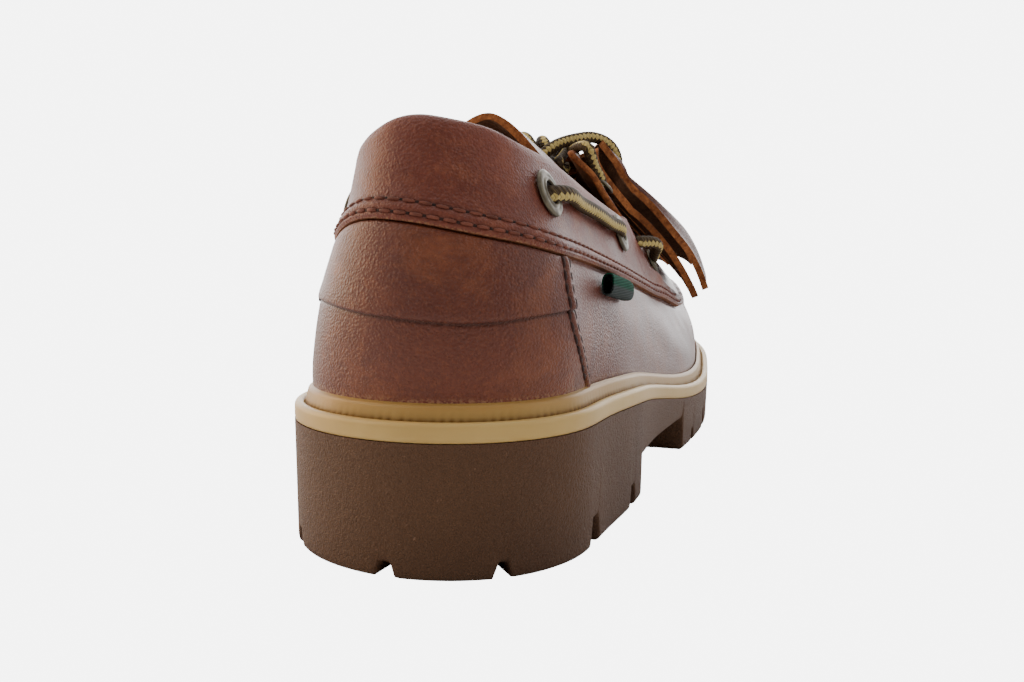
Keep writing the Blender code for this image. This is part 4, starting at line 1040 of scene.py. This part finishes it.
TONGUE_HALF = 0.020
TONGUE_THICKNESS = 0.0026
TONGUE_CURL = 0.245
TONGUE = (
    # along, height, half, lean, roll
    (-0.207, 1.104, 0.62, -0.175, 0.20),
    (-0.190, 1.092, 0.86, -0.150, 0.20),
    (-0.150, 1.068, 0.96, -0.110, 0.17),
    (-0.093, 1.020, 1.00, -0.050, 0.10),
    (-0.033, 0.958, 0.80, 0.000, 0.03),
    (0.027, 0.900, 0.80, 0.000, 0.00),
    (0.083, 0.852, 0.75, 0.000, 0.00),
    (0.127, 0.805, 0.70, 0.000, 0.00),
)
tongue_line = open_spline(TONGUE)


def tongue_point(along, across):
    """Arched leather: the middle line, less a curl that grows to both sides."""
    height, half, lean, roll = np.moveaxis(tongue_line(along), -1, 0)
    reach = across * half * TONGUE_HALF
    curl = ((reach * reach + 0.003 ** 2) ** 0.7 - 0.003 ** 1.4) / 0.001 ** 0.4
    x = TONGUE_HALF * lean + reach
    return np.stack([x, along * LENGTH, COLLAR_HEIGHT * height - TONGUE_CURL * curl - roll * reach], -1)


row, col = np.meshgrid(np.linspace(TONGUE[0][0], TONGUE[-1][0], 90), np.linspace(-1, 1, 60), indexing="ij")
outer = tongue_point(row, col)
normal = np.cross(tongue_point(row, col + 1e-4) - tongue_point(row, col - 1e-4),
                  tongue_point(row + 1e-4, col) - tongue_point(row - 1e-4, col))
normal /= np.linalg.norm(normal, axis=-1, keepdims=True)
ripple = 0.00025 * np.sin(row * 70 + col * 2) * np.cos(col * 4)
tongue_leather = leather("tongue leather", (0.085, 0.020, 0.012), (0.150, 0.038, 0.020), (0.250, 0.074, 0.028))
flesh = suede("flesh side", (0.110, 0.050, 0.026), (0.180, 0.085, 0.042))
tongue = plate("tongue_leather", outer + normal * (ripple - 0.0001)[..., None],
               outer - normal * (TONGUE_THICKNESS - 0.0001), [tongue_leather, flesh, raw_edge],
               masks={"dark": 0 * row, "hem": 0 * row})
soften = tongue.modifiers.new("worn edge", "BEVEL")
soften.width, soften.segments, soften.limit_method, soften.angle_limit = 0.0004, 2, "ANGLE", math.radians(50)
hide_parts("tongue")


# Kiltie
# Two layers of leather cut into strips, held under the lace at the neck and fanned over the vamp. The
# cuts are raw and orange, and each strip lifts and bends in its own way.

KILTIE_THICKNESS = 0.0026
KILTIE_STRIPS = 9
KILTIE_UPPER = ((1.00, 0.472, 0.0345), (0.86, 0.430, 0.0333), (0.79, 0.378, 0.0300),
                (0.63, 0.351, 0.0310), (0.42, 0.336, 0.0390))
KILTIE_LOWER = ((1.00, 0.458, 0.0200), (0.88, 0.404, 0.0130), (0.78, 0.374, 0.0125),
                (0.62, 0.343, 0.0165), (0.42, 0.328, 0.0250))


def kiltie(name, edge_rows, neck, tips, raise_middle, phase, crown_height, materials):
    """Fan over the vamp: rows run from the neck to the tips, columns across nine strips with slits."""
    edge = open_spline(sorted(edge_rows))
    per_strip = 9
    centre = (np.arange(KILTIE_STRIPS)[:, None] + np.linspace(0, 1, per_strip)[None, :]) / KILTIE_STRIPS
    away_cut = np.linspace(1, -1, per_strip)[None, :] * np.ones((KILTIE_STRIPS, 1))
    strip = np.arange(KILTIE_STRIPS)[:, None] * np.ones((1, per_strip))
    columns, toward, strip = centre.ravel(), away_cut.ravel(), strip.ravel()
    rows = np.linspace(0, 1, 56)
    slit_row = 17
    row, col = np.meshgrid(rows, columns, indexing="ij")
    slit = np.clip((row - rows[slit_row]) / (1 - rows[slit_row]), 0, 1)
    shift = (0.050 + 0.055 * slit) / KILTIE_STRIPS * (row >= rows[slit_row]) * toward[None, :] * 2
    shift[:, 0] = 0
    shift[:, -1] = 0
    col = col + shift
    length = 1 + 0.025 * np.sin(strip * 2.3 + phase)[None, :] * slit
    row = row * length
    side = 2 * col - 1
    away = np.abs(side)
    up_edge = edge_rows[0][0] + (edge_rows[-1][0] - edge_rows[0][0]) * row
    up_middle = neck + (tips - neck) * row
    up = up_middle + (up_edge - up_middle) * away ** 2
    at_edge = edge(up_edge)
    place = 0.5 + side * (0.5 - at_edge[..., 0])
    lift = at_edge[..., 1] * LENGTH * (raise_middle + (1 - raise_middle) * away ** 2)
    sway = np.sin(strip * 1.9 + phase)[None, :] * 0.0003 * slit ** 2
    sway = sway + 0.0026 * away ** 6 * np.sin(math.pi * slit ** 0.8)
    cup = -0.0005 * (toward ** 2)[None, :] * slit * (away < 0.97)
    crown = crown_height * bell(away - 0.80, 0.15) * (0.45 + 0.55 * np.sin(math.pi * slit))
    lift = lift + sway + cup + crown
    outer = skin(place, up, lift + KILTIE_THICKNESS / 2 - 0.00005)
    inner = skin(place, up, lift - KILTIE_THICKNESS / 2 + 0.00005)
    keep = np.ones((len(rows) - 1, len(columns) - 1), bool)
    keep[slit_row:, per_strip - 1::per_strip] = False
    made = plate(name, outer, inner, materials, keep, {"dark": 0 * row, "hem": 0 * row})
    soften = made.modifiers.new("worn edge", "BEVEL")
    soften.width, soften.segments, soften.limit_method, soften.angle_limit = 0.00035, 2, "ANGLE", math.radians(50)
    return made


kiltie_leather = leather("kiltie leather", (0.055, 0.013, 0.008), (0.110, 0.026, 0.014), (0.230, 0.070, 0.025))
for name, *shape in (("kiltie_upper", KILTIE_UPPER, 1.03, 0.56, 0.64, 0.4, 0.0062),
                     ("kiltie_lower", KILTIE_LOWER, 1.00, 0.48, 0.62, 1.7, 0.0)):
    layer = kiltie(f"{name}_leather", *shape, [kiltie_leather, flesh, raw_edge])
    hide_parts(name)


# Eyelets
# Flanged rings of aged grey brass with a rolled mouth, set through the band, the vamp and the throat.

EYELET_HOLE = 0.0029
EYELET_THICKNESS = 0.0007
EYELETS = {
    # place round the shoe, up the wall, radius, lift of the seat
    "rear": (0.0765, 0.792, 0.0059, 0.0013),
    "middle": (0.1870, 0.826, 0.0059, 0.0013),
    "front": (0.3110, 0.712, 0.0044, 0.0011),
    "top": (0.3960, 0.930, 0.0044, 0.0009),
}


def eyelet_seat(key, inner_side):
    """Middle of an eyelet's face, its outward direction and its radius."""
    spot, up, radius, lift = EYELETS[key]
    place = np.array(1 - spot if inner_side else spot)
    round_unit, _, outward = directions(place, np.array(up))
    return skin(place, up, np.array(lift)), round_unit, outward, radius


material, tree, shader, place_socket = new_material("aged brass")
cloud = patches(tree, place_socket, (0.35, 0.70), 260, 5, 0.65)
tree.links.new(blend_colour(tree, cloud, (0.150, 0.126, 0.082), (0.060, 0.047, 0.030)), shader.inputs["Base Color"])
shader.inputs["Metallic"].default_value = 0.70
tree.links.new(maths(tree, "ADD", 0.34, maths(tree, "MULTIPLY", cloud, 0.22)), shader.inputs["Roughness"])
tree.links.new(fine_bump(tree, place_socket, (0.15, 0.0002), 1500, 3), shader.inputs["Normal"])
brass = material
# Painted shadow: a near-black cup fills each eyelet's hole, standing in for the shade inside it.
material, tree, shader, place_socket = new_material("eyelet hole shadow")
tree.links.new(blend_colour(tree, noise(tree, place_socket, 400, 2), (0.010, 0.006, 0.005), (0.022, 0.013, 0.010)),
               shader.inputs["Base Color"])
shader.inputs["Roughness"].default_value = 0.8
hole_shadow = material
turns = np.arange(48) / 48 * 2 * math.pi
for inner_side in (False, True):
    for key in EYELETS:
        centre, round_unit, outward, radius = eyelet_seat(key, inner_side)
        across = np.cross(outward, round_unit)
        thick = EYELET_THICKNESS
        profile = ((radius, -0.0004), (radius, 0.0001), (radius - 0.0003, thick * 0.50), (radius - 0.0010, thick * 0.72),
                   (radius - 0.0016, thick * 0.66), (EYELET_HOLE + 0.0011, thick * 0.62),
                   (EYELET_HOLE + 0.0008, thick * 0.90), (EYELET_HOLE + 0.0004, thick * 1.0),
                   (EYELET_HOLE + 0.0001, thick * 0.85), (EYELET_HOLE, thick * 0.4), (EYELET_HOLE, -0.0002),
                   (EYELET_HOLE * 0.5, -0.0003))
        circle = np.cos(turns)[:, None] * round_unit + np.sin(turns)[:, None] * across
        rings = [centre + circle * distance + outward * level for distance, level in profile]
        faces = ring_faces(len(rings), 48, False).tolist()
        # The two innermost rings and the cap take the painted hole shadow.
        which = [0] * (48 * 9) + [1] * (48 * 2)
        faces += [list(range(48))[::-1], list(range(48 * 11, 48 * 12))]
        which += [0, 1]
        side = "inner" if inner_side else "outer"
        ring = make_object(f"ring_{key}_{side}", np.concatenate(rings), faces, [brass, hole_shadow], which, crisp=60)
        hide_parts(f"eyelet_{key}_{side}")


# Lace
# One oval braided lace, dark brown with a cream zigzag along its face. It runs outside the collar
# between the side eyelets, comes out again in front of the band, and ties over the tongue in a bow.

LACE = 0.0042
LACE_FLAT = 0.0035
TIP_DIAMETER = 0.0036
TIP_LENGTH = 0.016
ZIGZAG_PITCH = 0.0020
CORD_STEP = 0.0032
LOOP_OUTER = (
    (-0.0036, -0.0130, 0.0990), (-0.0018, -0.0110, 0.1010), (0.0008, -0.0080, 0.1038),
    (0.0038, -0.0030, 0.1064), (0.0082, 0.0030, 0.1083), (0.0126, 0.0090, 0.1092),
    (0.0163, 0.0135, 0.1081), (0.0189, 0.0170, 0.1054), (0.0199, 0.0200, 0.1018),
    (0.0188, 0.0240, 0.0995), (0.0152, 0.0272, 0.1004), (0.0114, 0.0244, 0.1038),
    (0.0084, 0.0180, 0.1068), (0.0066, 0.0110, 0.1072), (0.0052, 0.0045, 0.1046),
)
LOOP_INNER = (
    (-0.0036, -0.0005, 0.1002), (-0.0070, 0.0015, 0.1038), (-0.0110, 0.0050, 0.1090),
    (-0.0155, 0.0105, 0.1098), (-0.0200, 0.0165, 0.1046), (-0.0240, 0.0240, 0.0972),
    (-0.0258, 0.0310, 0.0927), (-0.0240, 0.0375, 0.0912), (-0.0195, 0.0380, 0.0932),
    (-0.0155, 0.0320, 0.0972), (-0.0120, 0.0250, 0.1027), (-0.0095, 0.0180, 0.1069),
    (-0.0070, 0.0115, 0.1090), (-0.0046, 0.0060, 0.1074), (-0.0026, 0.0036, 0.1050),
)
END_OUTER = (
    (0.0010, 0.0022, 0.0997), (0.0018, 0.0095, 0.1030), (0.0024, 0.0150, 0.1060),
    (0.0024, 0.0210, 0.1066), (0.0024, 0.0280, 0.1030), (0.0024, 0.0380, 0.0982),
    (0.0026, 0.0480, 0.0928), (0.0028, 0.0570, 0.0892),
)
END_INNER = (
    (-0.0034, 0.0046, 0.1002), (-0.0031, 0.0095, 0.1028), (-0.0025, 0.0150, 0.1069),
    (-0.0024, 0.0210, 0.1068), (-0.0025, 0.0280, 0.1032), (-0.0026, 0.0380, 0.0984),
    (-0.0026, 0.0480, 0.0930), (-0.0028, 0.0570, 0.0896),
)
TIE_OUTER = (0.0085, -0.0055, 0.1034)
TIE_INNER = (-0.0066, -0.0060, 0.1034)
KNOT = (0.0030, -0.0040, 0.0980)


def through(points, spacing):
    """Evenly spaced points on a smooth curve through the route's own points, and its length."""
    points = np.array(points)
    chord = np.concatenate([[0], np.cumsum(np.linalg.norm(np.diff(points, axis=0), axis=1))])
    dense = open_spline(np.column_stack([chord, points]))(np.linspace(0, chord[-1], 800))
    length = np.concatenate([[0], np.cumsum(np.linalg.norm(np.diff(dense, axis=0), axis=1))])
    marks = np.linspace(0, length[-1], max(int(round(length[-1] / spacing)), 3) + 1)
    return np.stack([np.interp(marks, length, dense[:, axis]) for axis in range(3)], 1), length[-1]


def braid(name, points, facing, material, width=LACE, flat=LACE_FLAT, turned=0.0, pressed=0.0):
    """Oval tube along a route: its flat side faces one way, its stripe is turned from there by an angle,
    and it is pressed flatter near both ends."""
    route, length = through(points, 0.0007)
    ways = np.gradient(route, axis=0)
    ways /= np.linalg.norm(ways, axis=1, keepdims=True)
    outs = np.array(facing, float) - ways * (ways @ np.array(facing, float))[:, None]
    outs /= np.linalg.norm(outs, axis=1, keepdims=True)
    sides = np.cross(ways, outs)
    sweep = np.arange(25) / 24
    turns = (sweep - 0.5) * 2 * math.pi + turned
    run = np.linspace(0, length, len(route))
    squeeze = (1 - pressed * (bell(run, 0.008) + bell(length - run, 0.008)))[:, None, None]
    ends = np.clip(np.minimum(np.arange(len(route)), np.arange(len(route))[::-1]) / 2.0, 0.55, 1)[:, None, None]
    ring = (outs[:, None] * np.cos(turns)[None, :, None] * flat / 2 * squeeze
            + sides[:, None] * np.sin(turns)[None, :, None] * width / 2) * ends
    points = route[:, None] + ring[:, :24]
    quads = ring_faces(len(route), 24, False)
    row, col = np.divmod(quads, 24)
    near = (col == 0) & (np.roll(col, 1, 1).max(1) == 23)[:, None]
    uv = np.stack([run[row], np.where(near, 1.0, sweep[col])], -1)
    caps = [list(range(24))[::-1], list(range((len(route) - 1) * 24, len(route) * 24))]
    uv = np.concatenate([uv.reshape(-1, 2), np.zeros((48, 2))])
    return make_object(name, points.reshape(-1, 3), quads.tolist() + caps, [material], uv=uv, crisp=80)


material, tree, shader, place_socket = new_material("braided lace")
split = put(tree, "ShaderNodeSeparateXYZ", {"Vector": put(tree, "ShaderNodeUVMap", uv_map="along").outputs["UV"]})
run, around = split.outputs["X"], split.outputs["Y"]
beside = maths(tree, "ABSOLUTE", maths(tree, "SUBTRACT", around, 0.5))
tooth = maths(tree, "PINGPONG", maths(tree, "DIVIDE", run, ZIGZAG_PITCH), 0.5)
slant = maths(tree, "ADD", maths(tree, "DIVIDE", run, ZIGZAG_PITCH * 0.8), maths(tree, "MULTIPLY", beside, 3.2))
strand = maths(tree, "PINGPONG", slant, 0.5)
edge = maths(tree, "ADD", 0.036, maths(tree, "MULTIPLY", tooth, 0.125))
cream = ramp(tree, maths(tree, "SUBTRACT", edge, beside), -0.006, 0.006)
fibre = patches(tree, place_socket, (0.3, 0.75), 1400, 3)
dark_side = blend_colour(tree, fibre, (0.028, 0.016, 0.009), (0.085, 0.055, 0.026))
bright = blend_colour(tree, fibre, (0.42, 0.300, 0.090), (0.62, 0.480, 0.190))
fleck = maths(tree, "MULTIPLY", ramp(tree, strand, 0.42, 0.49), ramp(tree, beside, 0.20, 0.12))
base = blend_colour(tree, cream, dark_side, bright)
base = blend_colour(tree, maths(tree, "MULTIPLY", fleck, 0.45), base, (0.36, 0.25, 0.085))
# Painted shade in the gaps between the braid's strands.
strand_gap_shade = ramp(tree, strand, 0.10, 0.02)
base = blend_colour(tree, maths(tree, "MULTIPLY", strand_gap_shade, 0.65), base, (0.030, 0.018, 0.008))
tree.links.new(base, shader.inputs["Base Color"])
shader.inputs["Roughness"].default_value = 0.70
shader.inputs["Specular IOR Level"].default_value = 0.12
tree.links.new(bump(tree, maths(tree, "ADD", strand, maths(tree, "MULTIPLY", fibre, 0.2)), 0.8, 0.0004),
               shader.inputs["Normal"])
lace = material


def on_side(place, up, lift, inner_side):
    """A point off the skin, on the outer or the inner side of the shoe."""
    return skin(np.array(1 - place if inner_side else place), np.array(up), np.array(lift))


def out_of(key, inner_side, toward, rise=0.0015):
    """Lace coming up out of an eyelet's hole and bending over its rim."""
    centre, _, outward, _ = eyelet_seat(key, inner_side)
    way = np.array(toward) - centre
    way = way - outward * (way @ outward)
    way /= np.linalg.norm(way)
    return [centre - outward * 0.0026 - way * 0.0006, centre - outward * 0.0010 + way * 0.0004,
            centre + way * 0.0032 + outward * rise * 0.45, centre + way * 0.0075 + outward * rise]


for inner_side in (False, True):
    side = "inner" if inner_side else "outer"
    facing = directions(np.array(0.87 if inner_side else 0.13), np.array(0.8))[2]
    rear, middle = EYELETS["rear"], EYELETS["middle"]
    points = []
    for share in (0.25, 0.42, 0.60, 0.75):
        place = rear[0] + (middle[0] - rear[0]) * share
        up = rear[1] + (middle[1] - rear[1]) * share + 0.006 * math.sin(math.pi * share)
        points.append(on_side(place, up, 0.0022, inner_side))
    points = out_of("rear", inner_side, points[0]) + points + out_of("middle", inner_side, points[-1])[::-1]
    bar = braid(f"side_lace_{side}", points, facing, lace, turned=-0.7 if inner_side else 0.7, pressed=0.35)
    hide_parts(f"lace_side_{side}")
    points = [on_side(place, up, lift, inner_side) for place, up, lift in
              ((0.2560, 0.868, 0.0002), (0.2620, 0.860, 0.0014), (0.2730, 0.842, 0.0040), (0.2880, 0.795, 0.0058))]
    points += out_of("front", inner_side, points[-1], 0.0030)[::-1]
    facing = directions(np.array(0.72 if inner_side else 0.28), np.array(0.8))[2]
    bar = braid(f"front_lace_{side}", points, facing, lace, turned=-0.8 if inner_side else 0.8)
    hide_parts(f"lace_front_{side}")
    crossing = on_side(0.437, 0.99, 0.0046, inner_side)
    points = out_of("top", inner_side, crossing) + [crossing, np.array(TIE_INNER if inner_side else TIE_OUTER)]
    bar = braid(f"tie_lace_{side}", points, (0.2, -0.8, 0.6), lace)
    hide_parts(f"lace_tie_{side}")

sweep = np.linspace(0, 1, 30)
wrap = np.stack([KNOT[0] - 0.0028 + 0.0056 * sweep, KNOT[1] + 0.0026 * np.cos(sweep * 4.2 * math.pi),
                 KNOT[2] + 0.0020 * np.sin(sweep * 4.2 * math.pi)], 1)
knot = braid("bow_knot", wrap, (1.0, 0.2, 0.3), lace, 0.0036, 0.0028)
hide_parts("lace_knot")

material, tree, shader, place_socket = new_material("lace tip")
tone = patches(tree, place_socket, (0.3, 0.7), 200, 3)
tree.links.new(blend_colour(tree, tone, (0.022, 0.014, 0.010), (0.040, 0.026, 0.018)), shader.inputs["Base Color"])
shader.inputs["Roughness"].default_value = 0.30
tree.links.new(fine_bump(tree, place_socket, (0.1, 0.0002), 500, 2), shader.inputs["Normal"])
sleeve = material
for side, route in (("outer", END_OUTER), ("inner", END_INNER)):
    last, before = np.array(route[-1]), np.array(route[-2])
    way = (last - before) / np.linalg.norm(last - before)
    start = last + way * CLEARANCE
    tip = braid(f"tip_{side}", [start, start + way * TIP_LENGTH / 2, start + way * TIP_LENGTH], (0, 0, 1), sleeve,
                TIP_DIAMETER, TIP_DIAMETER)
    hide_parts(f"lace_tip_{side}")
    loose = braid(f"end_{side}", route, (-0.55, 0.25, 0.80), lace)
    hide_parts(f"lace_end_{side}")
    path, length = through(route, CORD_STEP)
for side, route in (("outer", LOOP_OUTER), ("inner", LOOP_INNER)):
    bow = braid(f"bow_{side}", route, (0.35, -0.92, 0.15), lace)
    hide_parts(f"lace_loop_{side}")
    path, length = through(route, CORD_STEP)


# Side tab
# A short green ribbon folded into a loop and caught under the band's lower edge, left plain.

TAB_PLACE = 0.1315
TAB_LENGTH = 0.0255
TAB_DROP = 0.0058
TAB_DEPTH = 0.0034
TAB_LIFT = 0.0016
turns = np.arange(40) / 40 * 2 * math.pi
shares = np.linspace(-1, 1, 30)
place = TAB_PLACE + shares * TAB_LENGTH / 2 / LOOP_LENGTH
up = band_low(place) - 0.042
outward = directions(place, up)[2]
base = skin(place, up, TAB_LIFT)
down = np.array([0, 0, -1.0])
middle = base + outward * TAB_DEPTH / 2 + down * TAB_DROP / 2
pinch = (1 - 0.12 * bell(shares - 1, 0.25))[:, None, None]
rings = []
for trim in (0.0, 0.0005):
    wide = (TAB_DEPTH / 2 - trim) * np.sign(np.cos(turns)) * np.abs(np.cos(turns)) ** 0.75
    tall = (TAB_DROP / 2 - trim) * np.sign(np.sin(turns)) * np.abs(np.sin(turns)) ** 0.75
    ring = (outward[:, None] * wide[None, :, None] + down * tall[None, :, None]) * pinch
    rings.append(middle[:, None] + ring)
grid = np.concatenate([rings[0], rings[1][::-1]])
faces = ring_faces(60, 40, True)
fall = np.tile(np.sin(turns) * 0.5 + 0.5, (60, 1))
material, tree, shader, place_socket = new_material("green ribbon")
weave = put(tree, "ShaderNodeTexWave", {"Vector": place_socket, "Scale": 420.0, "Distortion": 0.5},
            bands_direction="Y").outputs["Fac"]
cross = put(tree, "ShaderNodeTexWave", {"Vector": place_socket, "Scale": 420.0, "Distortion": 0.5},
            bands_direction="Z").outputs["Fac"]
woven = maths(tree, "MULTIPLY", weave, cross)
# Painted sheen: the lower half of the loop is painted grey over the green, standing in for a sheen.
lower_half_sheen = ramp(tree, mask(tree, "fall"), 0.50, 0.60)
base_colour = blend_colour(tree, woven, (0.005, 0.040, 0.024), (0.022, 0.120, 0.070))
grey = blend_colour(tree, woven, (0.034, 0.042, 0.040), (0.078, 0.092, 0.088))
base_colour = blend_colour(tree, lower_half_sheen, base_colour, grey)
# Painted shade: the loop's inner face is near black.
base_colour = blend_colour(tree, mask(tree, "inside"), base_colour, (0.002, 0.004, 0.004))
tree.links.new(base_colour, shader.inputs["Base Color"])
shader.inputs["Roughness"].default_value = 0.75
shader.inputs["Specular IOR Level"].default_value = 0.04
tree.links.new(bump(tree, woven, 0.5, 0.0002), shader.inputs["Normal"])
inside = np.repeat([0.0, 1.0], 30)[:, None] * np.ones((1, 40))
tab = make_object("ribbon_tab", grid.reshape(-1, 3), faces, [material], masks={"fall": fall, "inside": inside}, crisp=50)
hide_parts("side_tab")
